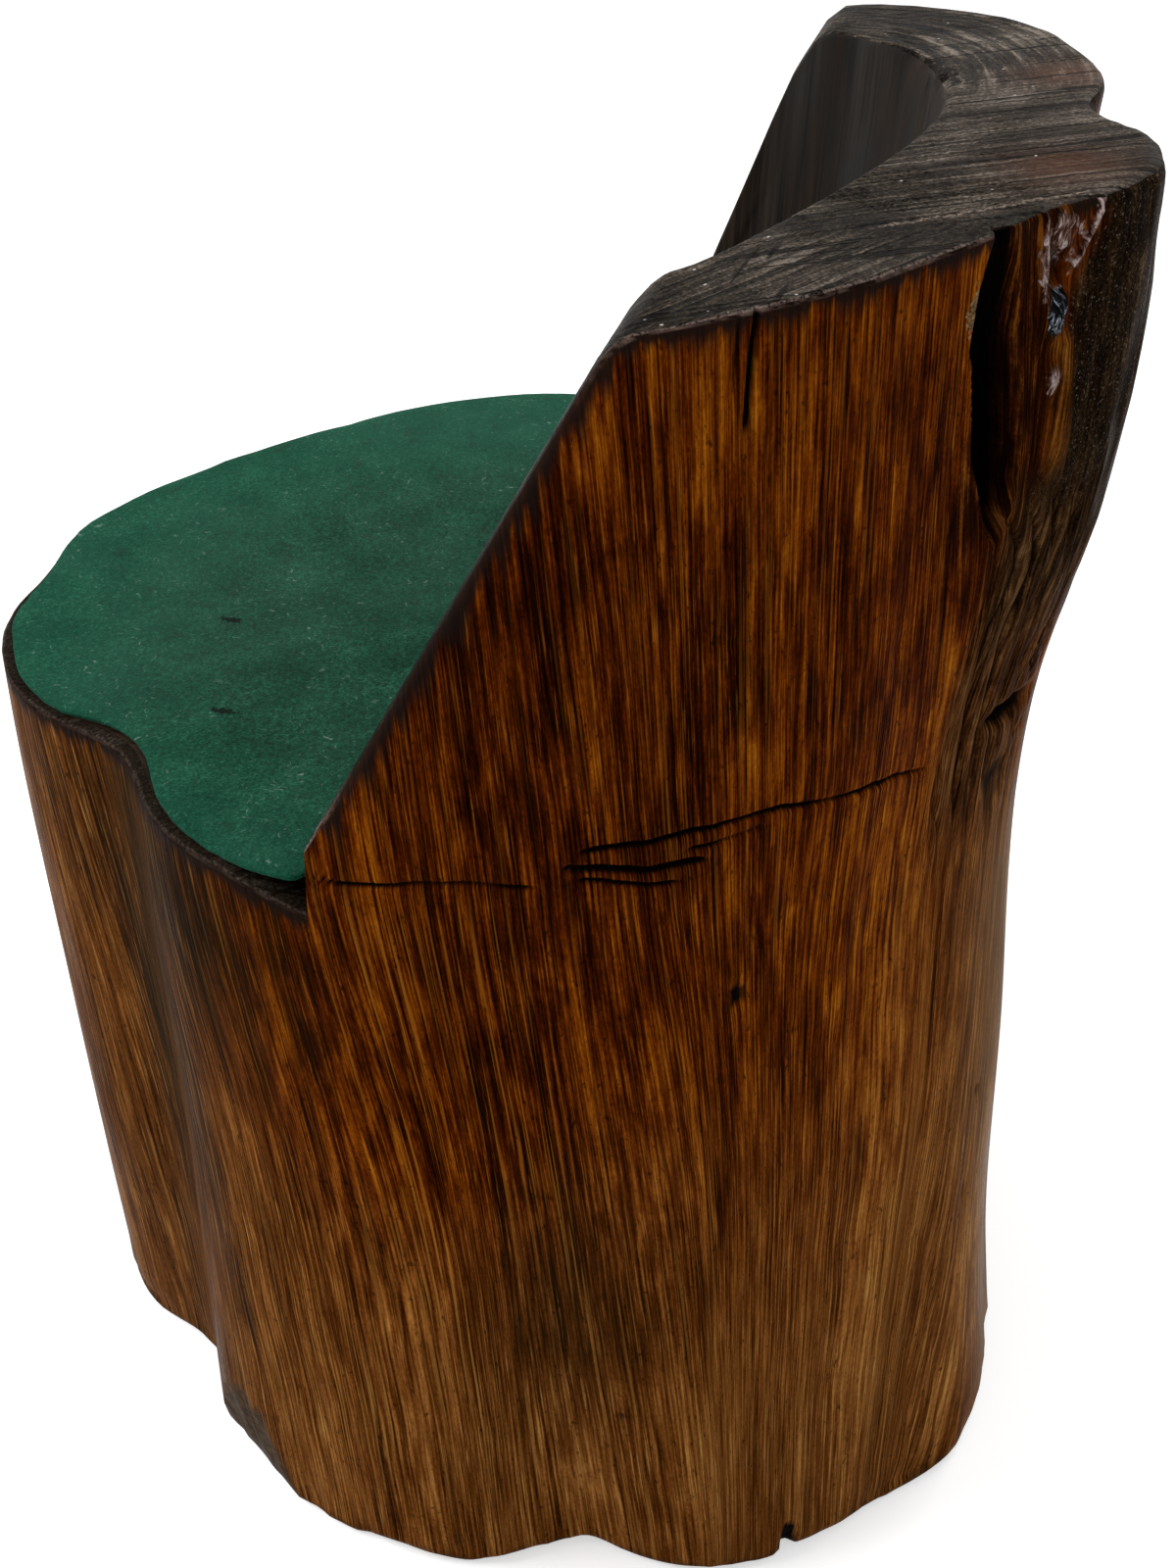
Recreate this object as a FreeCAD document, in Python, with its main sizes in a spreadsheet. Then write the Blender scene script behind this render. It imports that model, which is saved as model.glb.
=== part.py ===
import FreeCAD, Part
import Sketcher
import math
import os
from FreeCAD import Placement, Rotation, Vector

# A low chair sawn and carved out of one length of tree trunk, with a green
# felt cover glued on its flat seat. Millimetres, +Z up, the floor at Z = 0.
# The sitter looks along -Y, and the sitter's left arm side is +X. The origin
# is on the floor under the middle of the seat. A bearing is measured from +X
# towards +Y, so the near wing is at 0, the back at 90 and the front at -90.

os.makedirs("parts", exist_ok=True)
doc = FreeCAD.newDocument("trunk_chair")

# Driving sizes: alias, value, meaning
DRIVING_SIZES = [
    ("seat_height", 418, "sawn seat above the floor"),
    ("low_height", 210, "section halfway up the base"),
    ("mid_height", 540, "section halfway up the back"),
    ("crown_height", 660, "section just above the sawn crown"),
    ("blank_spare", 60, "spare length of the blank above the crown section"),
    ("floor_radius", 252, "mean radius of the trunk at the floor"),
    ("low_radius", 246, "mean radius halfway up the base"),
    ("seat_radius", 240, "mean radius at the seat"),
    ("mid_radius", 244, "mean radius halfway up the back"),
    ("crown_radius", 250, "mean radius at the crown"),
    ("floor_setback", 28, "how far the trunk's middle lies back at the floor"),
    ("low_setback", 15, "the same halfway up the base"),
    ("upper_setback", 2, "the same from the seat upwards"),
    ("foot_bevel", 8, "worn arris round the foot"),
    ("crown_pivot_height", 652, "sawn crown above the floor at the wings' tips"),
    ("crown_pivot_back", 100, "where that height is measured, behind the origin"),
    ("crown_slope", 5.7, "degrees by which the crown rises towards the back"),
    ("hollow_half_width", 205, "half the room between the wings at their feet"),
    ("seat_hollow_depth", 162, "inner face of the back behind the origin, at the seat"),
    ("crown_hollow_depth", 176, "the same at the crown pivot"),
    ("near_foot_forward", 12, "foot of the near wing in front of the origin"),
    ("near_foot_rise", 20, "upright part of the near wing's front edge"),
    ("near_front_lean", 27.5, "degrees by which the near wing's front leans back"),
    ("far_foot_back", 16, "foot of the far wing behind the origin"),
    ("far_front_lean", 20, "degrees by which the far wing's front leans back"),
    ("overcut_length", 50, "overcut in the seat in front of the near wing's foot"),
    ("overcut_depth", 16, "depth of that overcut at the wing"),
    ("overcut_inner_edge", 165, "inner end of the overcut, from the origin"),
    ("kerf_width", 2, "width of a saw kerf"),
    ("upper_kerf_height", 434, "upper kerf on the near side, above the floor"),
    ("upper_kerf_reach", 231, "bottom of the upper kerf from the trunk's middle"),
    ("lower_kerf_height", 424, "lower kerf on the near side, above the floor"),
    ("lower_kerf_reach", 238, "bottom of the lower kerf from the trunk's middle"),
    ("fissure_width", 20, "mouth of the drying fissure in the back"),
    ("fissure_root_width", 4, "width at the bottom of the fissure"),
    ("fissure_depth", 32, "depth of the fissure behind the trunk's mean surface"),
    ("fissure_foot", 520, "lower end of the fissure's mouth above the floor"),
    ("fissure_root_rise", 25, "how much higher the fissure's bottom ends"),
    ("facet_reach", 246, "top edge of the saw facet at the foot, from the trunk's middle"),
    ("facet_height", 42, "top edge of that facet above the floor"),
    ("facet_lean", 18, "degrees by which the facet undercuts the foot"),
    ("glue_thickness", 0.3, "film of glue between the seat and the felt"),
    ("glue_inset", 6, "edge of the glue inside the trunk's edge"),
    ("felt_thickness", 2.2, "green felt"),
    ("felt_inset", 4, "edge of the felt inside the trunk's edge"),
    ("felt_clearance", 0.5, "hand-cut gap between the felt and the back"),
    ("tool_overrun", 60, "how far a cutting shape runs past the wood"),
]

sheet = doc.addObject("Spreadsheet::Sheet", "sizes")
for row, (alias, value, meaning) in enumerate(DRIVING_SIZES, start=1):
    sheet.set(f"A{row}", alias)
    sheet.set(f"B{row}", str(value))
    sheet.setAlias(f"B{row}", alias)
    sheet.set(f"C{row}", meaning)
doc.recompute()


def size(alias):
    """The value of one cell of the sheet."""
    return float(sheet.get(alias))


def bind(item, **expressions):
    """Bind properties of a document object to expressions on the sheet."""
    for name, expression in expressions.items():
        item.setExpression(name.replace("__", "."), expression)


def shape_feature(name, shape):
    """A document object that carries a shape worked out in code."""
    item = doc.addObject("Part::Feature", name)
    item.Shape = shape
    return item


# Outline of the trunk
# Each swell or flute is a bell curve round the trunk: its bearing at the floor
# and at the crown, its spread, and its height as a share of the mean radius
# at the floor, low, seat, mid and crown sections.
SWELL_SHARES = [
    (-44, -31, 8, (-0.12, -0.11, -0.09, -0.08, -0.08)),
    (-62, -60, 14, (0.00, 0.015, 0.02, 0.00, 0.00)),
    (-79, -79, 6, (-0.01, -0.02, -0.03, 0.00, 0.00)),
    (-8, -6, 12, (-0.01, 0.01, 0.055, 0.03, 0.02)),
    (18, 10, 6, (-0.09, -0.04, -0.01, 0.00, 0.00)),
    (42, 30, 16, (0.055, 0.02, 0.02, 0.01, 0.01)),
    (66, 60, 9, (0.08, 0.01, -0.03, -0.02, -0.02)),
    (82, 77, 10, (0.03, 0.035, 0.065, 0.125, 0.085)),
    (98, 96, 6, (0.00, 0.00, -0.02, -0.03, -0.06)),
    (135, 137, 15, (0.02, 0.02, 0.03, 0.06, 0.11)),
    (-125, -125, 22, (-0.03, -0.05, -0.10, -0.08, -0.08)),
    (180, 180, 18, (0.00, 0.01, 0.045, 0.02, 0.00)),
]
OUTLINE_POINTS = 72
LOG_STEPS = 12
FULL_TURN = 360

# Heights of the sections, and the mean radius and setback that each one has
SECTION_HEIGHTS = (0, size("low_height"), size("seat_height"), size("mid_height"), size("crown_height"))
MEAN_RADII = [size(f"{name}_radius") for name in ("floor", "low", "seat", "mid", "crown")]
SETBACKS = [size(f"{name}_setback") for name in ("floor", "low", "upper", "upper", "upper")]


def between(values, height):
    """A value at a height: a cubic through the sections that never overshoots."""
    last = len(SECTION_HEIGHTS) - 1
    if height >= SECTION_HEIGHTS[last]:
        return values[last]
    rises = [b - a for a, b in zip(SECTION_HEIGHTS, SECTION_HEIGHTS[1:])]
    slopes = [(values[k + 1] - values[k]) / rises[k] for k in range(last)]
    tangents = [slopes[0]]
    for before, after in zip(slopes, slopes[1:]):
        tangents.append(2 * before * after / (before + after) if before * after > 0 else 0)
    tangents.append(slopes[-1])
    k = max(number for number in range(last) if SECTION_HEIGHTS[number] <= height)
    part = (height - SECTION_HEIGHTS[k]) / rises[k]
    start = (1 + 2 * part) * (1 - part) ** 2
    lift = rises[k] * part * (1 - part)
    value = start * values[k] + (1 - start) * values[k + 1]
    return value + lift * ((1 - part) * tangents[k] - part * tangents[k + 1])


def trunk_radius(height, bearing):
    """Mean radius at a height, raised or lowered by the swells and flutes."""
    climb = min(height / size("crown_height"), 1)
    share = 1
    for floor_bearing, crown_bearing, spread, heights in SWELL_SHARES:
        middle = floor_bearing + climb * (crown_bearing - floor_bearing)
        away = (bearing - middle + FULL_TURN / 2) % FULL_TURN - FULL_TURN / 2
        share += between(heights, height) * math.exp(-((away / spread) ** 2) / 2)
    return between(MEAN_RADII, height) * share


def trunk_outline(height, inset=0):
    """Closed smooth outline of the trunk at a height, drawn in by an inset."""
    setback = between(SETBACKS, height)
    points = []
    for step in range(OUTLINE_POINTS):
        bearing = FULL_TURN * step / OUTLINE_POINTS
        radius = trunk_radius(height, bearing) - inset
        turn = math.radians(bearing)
        points.append(Vector(radius * math.cos(turn), setback + radius * math.sin(turn), height))
    curve = Part.BSplineCurve()
    curve.interpolate(points, PeriodicFlag=True)
    return Part.Wire([curve.toShape()])


# Trunk before any sawing: a lofted log on a bevelled foot
bevel = size("foot_bevel")
blank_top = size("crown_height") + size("blank_spare")
log_rise = (size("crown_height") - bevel) / LOG_STEPS
log_outlines = [trunk_outline(bevel + log_rise * step) for step in range(LOG_STEPS + 1)]
log_outlines.append(trunk_outline(blank_top))
log_shape = Part.makeLoft(log_outlines, True, False)
foot_shape = Part.makeLoft([trunk_outline(0, bevel), trunk_outline(bevel)], True, True)
trunk_log = shape_feature("trunk_log", log_shape)
trunk_foot = shape_feature("trunk_foot", foot_shape)
trunk_blank = doc.addObject("Part::Fuse", "trunk_blank")
trunk_blank.Base = trunk_log
trunk_blank.Tool = trunk_foot

# Crown: one slanted cut across the top of the back
REACH = "(sizes.crown_radius + sizes.tool_overrun)"
crown_cut = doc.addObject("Part::Box", "crown_cut")
crown_cut.Placement = Placement(Vector(), Rotation(Vector(1, 0, 0), size("crown_slope")))
bind(
    crown_cut,
    Length=f"2 * {REACH}",
    Width=f"2 * {REACH}",
    Height=f"2 * {REACH}",
    Placement__Base__x=f"-{REACH}",
    Placement__Base__y=f"sizes.crown_pivot_back - {REACH} * cos(sizes.crown_slope)",
    Placement__Base__z=f"sizes.crown_pivot_height - {REACH} * sin(sizes.crown_slope)",
    Placement__Rotation__Angle="sizes.crown_slope",
)


# Fronts of the two wings and the flat seat: an outline seen from the side,
# padded from the middle out to each side
def origin_plane(body, role):
    """One of a body's own origin planes."""
    for feature in body.Origin.OriginFeatures:
        if feature.Role == role:
            return feature
    raise ValueError(role)


def side_cut(body, name, corners, reverse):
    """Pad a polygon of (back, up) corner expressions out along X."""
    sketch = body.newObject("Sketcher::SketchObject", f"{name}_outline")
    sketch.AttachmentSupport = [(origin_plane(body, "YZ_Plane"), "")]
    sketch.MapMode = "FlatFace"
    count = len(corners)
    turn = 2 * math.pi / count
    unit = size("tool_overrun")
    rough = [Vector(-unit * math.cos(turn * k), unit * math.sin(turn * k), 0) for k in range(count)]
    for k in range(count):
        sketch.addGeometry(Part.LineSegment(rough[k], rough[(k + 1) % count]), False)
    for k in range(count):
        sketch.addConstraint(Sketcher.Constraint("Coincident", k, 2, (k + 1) % count, 1))
    for k, (back, up) in enumerate(corners):
        for kind, axis, expression in (("DistanceX", "back", back), ("DistanceY", "up", up)):
            start = rough[k].x if kind == "DistanceX" else rough[k].y
            number = sketch.addConstraint(Sketcher.Constraint(kind, -1, 1, k, 1, start))
            sketch.renameConstraint(number, f"{axis}{k}")
            sketch.setExpression(f"Constraints.{axis}{k}", expression)
    doc.recompute()
    pad = body.newObject("PartDesign::Pad", f"{name}_cut")
    pad.Profile = sketch
    pad.Reversed = reverse
    bind(pad, Length=REACH)
    doc.recompute()


CUT_TOP = "(sizes.crown_height + sizes.blank_spare + sizes.tool_overrun)"
NEAR_STEP = "(sizes.seat_height + sizes.near_foot_rise)"
seat_cuts = doc.addObject("PartDesign::Body", "seat_cuts")
side_cut(
    seat_cuts,
    "near_front",
    [
        (f"-{REACH}", "sizes.seat_height"),
        ("-sizes.near_foot_forward", "sizes.seat_height"),
        ("-sizes.near_foot_forward", NEAR_STEP),
        (f"({CUT_TOP} - {NEAR_STEP}) * tan(sizes.near_front_lean) - sizes.near_foot_forward", CUT_TOP),
        (f"-{REACH}", CUT_TOP),
    ],
    False,
)
side_cut(
    seat_cuts,
    "far_front",
    [
        (f"-{REACH}", "sizes.seat_height"),
        ("sizes.far_foot_back", "sizes.seat_height"),
        (f"({CUT_TOP} - sizes.seat_height) * tan(sizes.far_front_lean) + sizes.far_foot_back", CUT_TOP),
        (f"-{REACH}", CUT_TOP),
    ],
    True,
)

# Hollow of the back, from the near wing round to the far wing: shares of its
# half width and of its depth, so that it is flatter on the near side
HOLLOW_SHARES = [
    (1.00, 0.00),
    (0.985, 0.20),
    (0.93, 0.40),
    (0.84, 0.57),
    (0.70, 0.69),
    (0.33, 0.875),
    (0.00, 0.985),
    (-0.26, 1.00),
    (-0.60, 0.89),
    (-0.85, 0.64),
    (-0.97, 0.36),
    (-1.00, 0.00),
]


def hollow_outline(height, clearance=0):
    """Outline of the hollow at a height; its back leans with the height."""
    climb = (height - size("seat_height")) / (size("crown_pivot_height") - size("seat_height"))
    depth = size("seat_hollow_depth")
    depth += climb * (size("crown_hollow_depth") - size("seat_hollow_depth"))
    half_width = size("hollow_half_width") - clearance
    points = [
        Vector(across * half_width, back * (depth - clearance), height)
        for across, back in HOLLOW_SHARES
    ]
    curve = Part.BSplineCurve()
    curve.interpolate(points)
    front = -size("tool_overrun")
    near_front = Vector(half_width, front, height)
    far_front = Vector(-half_width, front, height)
    return Part.Wire(
        [
            curve.toShape(),
            Part.LineSegment(points[-1], far_front).toShape(),
            Part.LineSegment(far_front, near_front).toShape(),
            Part.LineSegment(near_front, points[0]).toShape(),
        ]
    )


hollow_outlines = [hollow_outline(size("seat_height")), hollow_outline(blank_top + size("tool_overrun"))]
back_hollow = shape_feature("back_hollow", Part.makeLoft(hollow_outlines, True, True))

# Overcut: the seat saw dipped into the seat in front of the near wing's foot
overcut = doc.addObject("Part::Wedge", "foot_overcut")
bind(
    overcut,
    Xmin="sizes.overcut_inner_edge",
    X2min="sizes.overcut_inner_edge",
    Xmax=REACH,
    X2max=REACH,
    Ymin="-sizes.near_foot_forward - sizes.overcut_length",
    Ymax="-sizes.near_foot_forward",
    Zmin="sizes.seat_height",
    Z2min="sizes.seat_height - sizes.overcut_depth",
    Zmax=NEAR_STEP,
    Z2max=NEAR_STEP,
)

# Kerfs: thin straight cuts where the saw ran out through the near side
UPPER_KERF_BEARING = 42
LOWER_KERF_BEARING = 23


def kerf(name, bearing, reach, height):
    """A thin flat cut whose bottom is a chord square to a bearing."""
    cut = doc.addObject("Part::Box", name)
    cut.Placement = Placement(Vector(), Rotation(Vector(0, 0, 1), bearing))
    bind(
        cut,
        Length="sizes.tool_overrun",
        Width=f"2 * {REACH}",
        Height="sizes.kerf_width",
        Placement__Base__x=f"sizes.{reach} * cos({bearing}) + {REACH} * sin({bearing})",
        Placement__Base__y=f"sizes.{reach} * sin({bearing}) - {REACH} * cos({bearing})",
        Placement__Base__z=f"sizes.{height}",
    )
    return cut


upper_kerf = kerf("upper_kerf", UPPER_KERF_BEARING, "upper_kerf_reach", "upper_kerf_height")
lower_kerf = kerf("lower_kerf", LOWER_KERF_BEARING, "lower_kerf_reach", "lower_kerf_height")

# Drying fissure: a tapering groove down from the crown in the back's near half
FISSURE_BEARING = 60
FISSURE_ROOT = "(sizes.mid_radius - sizes.fissure_depth)"
fissure = doc.addObject("Part::Wedge", "fissure")
fissure.Placement = Placement(Vector(), Rotation(Vector(0, 0, 1), FISSURE_BEARING - 90))
bind(
    fissure,
    Ymin=FISSURE_ROOT,
    Ymax=f"{FISSURE_ROOT} + 2 * sizes.fissure_depth",
    Xmin="-sizes.fissure_root_width / 2",
    Xmax="sizes.fissure_root_width / 2",
    X2min="-sizes.fissure_width",
    X2max="sizes.fissure_width",
    Zmin="sizes.fissure_foot + sizes.fissure_root_rise",
    Z2min="sizes.fissure_foot - sizes.fissure_root_rise",
    Zmax=CUT_TOP,
    Z2max=CUT_TOP,
)

# Facet: an oblique saw cut that took the corner off the foot beside the flute
FACET_BEARING = -32
facet_block = Part.makeBox(
    size("tool_overrun"),
    2 * size("floor_radius"),
    size("seat_height"),
    Vector(0, -size("floor_radius"), -size("seat_height")),
)
facet = shape_feature("foot_facet", facet_block)
facet_turn = Rotation(Vector(0, 0, 1), FACET_BEARING)
facet_tip = Rotation(Vector(0, 1, 0), size("facet_lean"))
facet_edge = Vector(size("facet_reach"), 0, size("facet_height"))
facet_middle = Vector(0, size("floor_setback"), 0)
facet.Placement = Placement(facet_middle + facet_turn.multVec(facet_edge), facet_turn * facet_tip)

# The finished trunk: one piece of timber, base, seat, wings and back together
sawn_away = doc.addObject("Part::MultiFuse", "sawn_away")
sawn_away.Shapes = [seat_cuts, back_hollow, overcut]
carved_away = doc.addObject("Part::Cut", "carved_trunk")
carved_away.Base = trunk_blank
carved_away.Tool = sawn_away
trimmings = doc.addObject("Part::MultiFuse", "trimmings")
trimmings.Shapes = [crown_cut, fissure, facet]
trimmed_trunk = doc.addObject("Part::Cut", "trimmed_trunk")
trimmed_trunk.Base = carved_away
trimmed_trunk.Tool = trimmings
kerfs = doc.addObject("Part::Fuse", "kerfs")
kerfs.Base = upper_kerf
kerfs.Tool = lower_kerf
trunk = doc.addObject("Part::Cut", "trunk")
trunk.Base = trimmed_trunk
trunk.Tool = kerfs
trunk.Label = "trunk"


# Room on the seat for a sheet: in front of the wings and inside the hollow
def sheet_room(name, base, height):
    """What of a flat sheet's space lies clear of the wings and the back."""
    front = f"({REACH} - sizes.near_foot_forward - sizes.felt_clearance)"
    near = doc.addObject("Part::Box", f"{name}_near_room")
    bind(near, Length=REACH, Width=front, Height=height)
    bind(near, Placement__Base__y=f"-{REACH}", Placement__Base__z=base)
    far = doc.addObject("Part::Box", f"{name}_far_room")
    bind(far, Length=REACH, Width=f"{REACH} + sizes.far_foot_back - sizes.felt_clearance")
    bind(far, Height=height, Placement__Base__x=f"-{REACH}")
    bind(far, Placement__Base__y=f"-{REACH}", Placement__Base__z=base)
    return near, far


def seat_sheet(name, base, thickness, inset, base_expression, thickness_alias):
    """A flat sheet on the seat, cut a little inside the trunk's outline."""
    outline = shape_feature(f"{name}_outline", Part.Face(trunk_outline(base, inset)))
    blank = doc.addObject("Part::Extrusion", f"{name}_blank")
    blank.Base = outline
    blank.DirMode = "Custom"
    blank.Dir = Vector(0, 0, 1)
    blank.Solid = True
    bind(blank, LengthFwd=thickness_alias)
    near, far = sheet_room(name, base_expression, thickness_alias)
    hollow_face = Part.Face(hollow_outline(base, size("felt_clearance")))
    hollow = shape_feature(f"{name}_hollow", hollow_face.extrude(Vector(0, 0, thickness)))
    room = doc.addObject("Part::MultiFuse", f"{name}_room")
    room.Shapes = [near, far, hollow]
    cut_sheet = doc.addObject("Part::Common", name)
    cut_sheet.Base = blank
    cut_sheet.Tool = room
    return cut_sheet


# Glue film: it stops short of the felt's edge and doesn't fill the overcut
glue_base = size("seat_height")
glue_sheet = seat_sheet(
    "glue_sheet",
    glue_base,
    size("glue_thickness"),
    size("glue_inset"),
    "sizes.seat_height",
    "sizes.glue_thickness",
)
glue_film = doc.addObject("Part::Cut", "glue_film")
glue_film.Base = glue_sheet
glue_film.Tool = overcut
glue_film.Label = "glue_film"

# Felt: one flat sheet that follows the trunk's outline and the hollow
seat_felt = seat_sheet(
    "seat_felt",
    glue_base + size("glue_thickness"),
    size("felt_thickness"),
    size("felt_inset"),
    "sizes.seat_height + sizes.glue_thickness",
    "sizes.felt_thickness",
)
seat_felt.Label = "seat_felt"

doc.recompute()

# Checks before anything is written
for item in doc.Objects:
    if "Invalid" in item.State or "Error" in item.State:
        raise RuntimeError(f"{item.Name} did not build: {item.State}")
NODES = [trunk, glue_film, seat_felt]
for node in NODES:
    if node.Shape.isNull() or not node.Shape.isValid() or not node.Shape.Solids:
        raise RuntimeError(f"{node.Label} has no valid solid")

for node in NODES:
    node.Shape.exportStep(f"parts/{node.Label}.step")
    box = node.Shape.BoundBox
    print(
        node.Label,
        f"solids {len(node.Shape.Solids)}",
        f"volume {node.Shape.Volume:.0f}",
        f"x {box.XMin:.1f} {box.XMax:.1f}",
        f"y {box.YMin:.1f} {box.YMax:.1f}",
        f"z {box.ZMin:.1f} {box.ZMax:.1f}",
    )
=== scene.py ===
import math

import bpy
import numpy as np
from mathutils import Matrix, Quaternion, Vector


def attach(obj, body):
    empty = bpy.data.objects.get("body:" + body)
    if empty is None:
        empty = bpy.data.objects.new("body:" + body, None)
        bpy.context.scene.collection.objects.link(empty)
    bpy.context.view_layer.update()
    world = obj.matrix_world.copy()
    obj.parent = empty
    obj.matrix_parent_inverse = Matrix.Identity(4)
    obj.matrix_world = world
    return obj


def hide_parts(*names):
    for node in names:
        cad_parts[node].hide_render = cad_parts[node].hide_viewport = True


# A low chair sawn and carved out of one length of tree trunk, varnished dark,
# with a green felt cover glued on its flat seat. Metres, +Z up, floor at Z = 0.
# The sitter looks along -Y. Bearings are in degrees from +X towards +Y.
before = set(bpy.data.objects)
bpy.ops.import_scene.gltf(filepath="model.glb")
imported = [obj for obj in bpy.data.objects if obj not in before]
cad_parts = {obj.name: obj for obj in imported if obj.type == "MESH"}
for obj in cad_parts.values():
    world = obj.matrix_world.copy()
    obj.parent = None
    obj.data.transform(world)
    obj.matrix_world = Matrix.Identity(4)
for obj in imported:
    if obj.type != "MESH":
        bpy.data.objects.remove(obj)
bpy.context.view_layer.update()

# The trunk, as it grew: a fluted log, a little wider at the foot and set back
# there. Its outline is a mean radius, raised and lowered by swells and flutes.
SECTION_HEIGHTS = np.array([0, 0.210, 0.418, 0.540, 0.660])
MEAN_RADII = np.array([0.252, 0.246, 0.240, 0.244, 0.250])
SETBACKS = np.array([0.028, 0.015, 0.002, 0.002, 0.002])
FULL_TURN = 360
# bearing at the floor and at the crown, spread, and share of the mean radius
# at each of the five sections
SWELLS = [
    (-44, -31, 8, (-0.12, -0.11, -0.09, -0.08, -0.08)),
    (-62, -60, 14, (0.00, 0.015, 0.02, 0.00, 0.00)),
    (-79, -79, 6, (-0.01, -0.02, -0.03, 0.00, 0.00)),
    (-8, -6, 12, (-0.01, 0.01, 0.055, 0.03, 0.02)),
    (18, 10, 6, (-0.09, -0.04, -0.01, 0.00, 0.00)),
    (42, 30, 16, (0.055, 0.02, 0.02, 0.01, 0.01)),
    (66, 60, 9, (0.08, 0.01, -0.03, -0.02, -0.02)),
    (82, 77, 10, (0.03, 0.035, 0.065, 0.125, 0.085)),
    (98, 96, 6, (0.00, 0.00, -0.02, -0.03, -0.06)),
    (135, 137, 15, (0.02, 0.02, 0.03, 0.06, 0.11)),
    (-125, -125, 22, (-0.03, -0.05, -0.10, -0.08, -0.08)),
    (180, 180, 18, (0.00, 0.01, 0.045, 0.02, 0.00)),
]


def between(values, height):
    """A value at each height: cubic pieces through the sections. The slope at a
    section is the harmonic mean of the slopes beside it, or nought where these
    differ in sign, so that nothing overshoots."""
    values = np.asarray(values, float)
    rises = np.diff(SECTION_HEIGHTS)
    slopes = np.diff(values) / rises
    product, total = slopes[:-1] * slopes[1:], slopes[:-1] + slopes[1:]
    inner = np.where(product > 0, 2 * product / np.where(total == 0, 1, total), 0)
    tangents = np.concatenate([slopes[:1], inner, slopes[-1:]])
    height = np.clip(height, 0, SECTION_HEIGHTS[-1])
    k = np.searchsorted(SECTION_HEIGHTS, height, side="right") - 1
    k = np.clip(k, 0, len(rises) - 1)
    part = (height - SECTION_HEIGHTS[k]) / rises[k]
    start = (1 + 2 * part) * (1 - part) ** 2
    lift = rises[k] * part * (1 - part)
    bend = (1 - part) * tangents[k] - part * tangents[k + 1]
    return start * values[k] + (1 - start) * values[k + 1] + lift * bend


def turn_from(bearing, middle):
    """Signed turn from one bearing to another, from -180 to 180 degrees."""
    return (bearing - middle + FULL_TURN / 2) % FULL_TURN - FULL_TURN / 2


def bell(away, spread):
    """A bell curve: 1 in the middle, e to the power of minus half a square."""
    return np.exp(-((away / spread) ** 2) / 2)


def trunk_radius(height, bearing):
    """The mean radius at a height, times one plus each swell's share there
    times a bell curve of the turn from the swell's bearing."""
    climb = np.clip(height / SECTION_HEIGHTS[-1], 0, 1)
    share = np.ones(np.broadcast(height, bearing).shape)
    for floor_bearing, crown_bearing, spread, heights in SWELLS:
        middle = floor_bearing + climb * (crown_bearing - floor_bearing)
        share = share + between(heights, height) * bell(turn_from(bearing, middle), spread)
    return between(MEAN_RADII, height) * share


def outline_point(height, bearing, inset=0):
    """X and Y of the trunk's surface at a height and bearing, drawn in."""
    radius = trunk_radius(height, bearing) - inset
    turn = np.radians(bearing)
    return radius * np.cos(turn), between(SETBACKS, height) + radius * np.sin(turn)


# The saw cuts: a flat seat with an overcut at the near wing's foot, a crown
# that rises towards the back, the slanted fronts of the two wings, and the
# hollow of the back, which is flatter on the near side.
SEAT_HEIGHT = 0.418
CROWN_PIVOT_HEIGHT, CROWN_PIVOT_BACK, CROWN_SLOPE = 0.652, 0.100, math.radians(5.7)
NEAR_FOOT, NEAR_STEP, NEAR_LEAN = -0.012, 0.438, math.radians(27.5)
FAR_FOOT, FAR_LEAN = 0.016, math.radians(20)
NEAR_ROUNDING, FAR_ROUNDING = 0.014, 0.036
OVERCUT_LENGTH, OVERCUT_DEPTH, OVERCUT_INNER_EDGE = 0.038, 0.0115, 0.165
HOLLOW_HALF_WIDTH, SEAT_HOLLOW_DEPTH, CROWN_HOLLOW_DEPTH = 0.205, 0.162, 0.176
HOLLOW_SHARES = np.array([
    (1.00, -0.30), (1.00, 0.00), (0.985, 0.20), (0.93, 0.40), (0.84, 0.57), (0.70, 0.69),
    (0.33, 0.875), (0.00, 0.985), (-0.26, 1.00), (-0.60, 0.89), (-0.85, 0.64), (-0.97, 0.36),
    (-1.00, 0.00), (-1.00, -0.30),
])


def ramp(value, start, end):
    """From 0 to 1 between two values, by the curve 3t² - 2t³."""
    t = np.clip((value - start) / (end - start), 0, 1)
    return t * t * (3 - 2 * t)


def lower_of(a, b, rounding):
    """The lower of two surfaces, with the edge between them rounded over."""
    h = np.clip(0.5 + 0.5 * (b - a) / rounding, 0, 1)
    return b + (a - b) * h - rounding * h * (1 - h)


def back_top(x, y):
    """Height of the sawn top of the back and wings: the lower of the crown's
    plane and the front plane of the wing on that side."""
    crown = CROWN_PIVOT_HEIGHT + (y - CROWN_PIVOT_BACK) * math.tan(CROWN_SLOPE)
    crown = crown - 0.0025 * bell(y - 0.085, 0.035) * (x > 0)
    near = NEAR_STEP + (y - NEAR_FOOT) / math.tan(NEAR_LEAN)
    far = SEAT_HEIGHT + (y - FAR_FOOT) / math.tan(FAR_LEAN)
    rounding = np.where(x > 0, NEAR_ROUNDING, FAR_ROUNDING)
    return lower_of(crown, np.where(x > 0, near, far), rounding)


def seat_top(x, y):
    """Height of the seat: flat, but for the wedge that the saw dipped out in
    front of the near wing's foot."""
    dip = np.clip((y - NEAR_FOOT + OVERCUT_LENGTH) / OVERCUT_LENGTH, 0, 1)
    side = ramp(x, OVERCUT_INNER_EDGE - 0.004, OVERCUT_INNER_EDGE + 0.004)
    return SEAT_HEIGHT - OVERCUT_DEPTH * dip * side * (y < 0)


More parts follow.
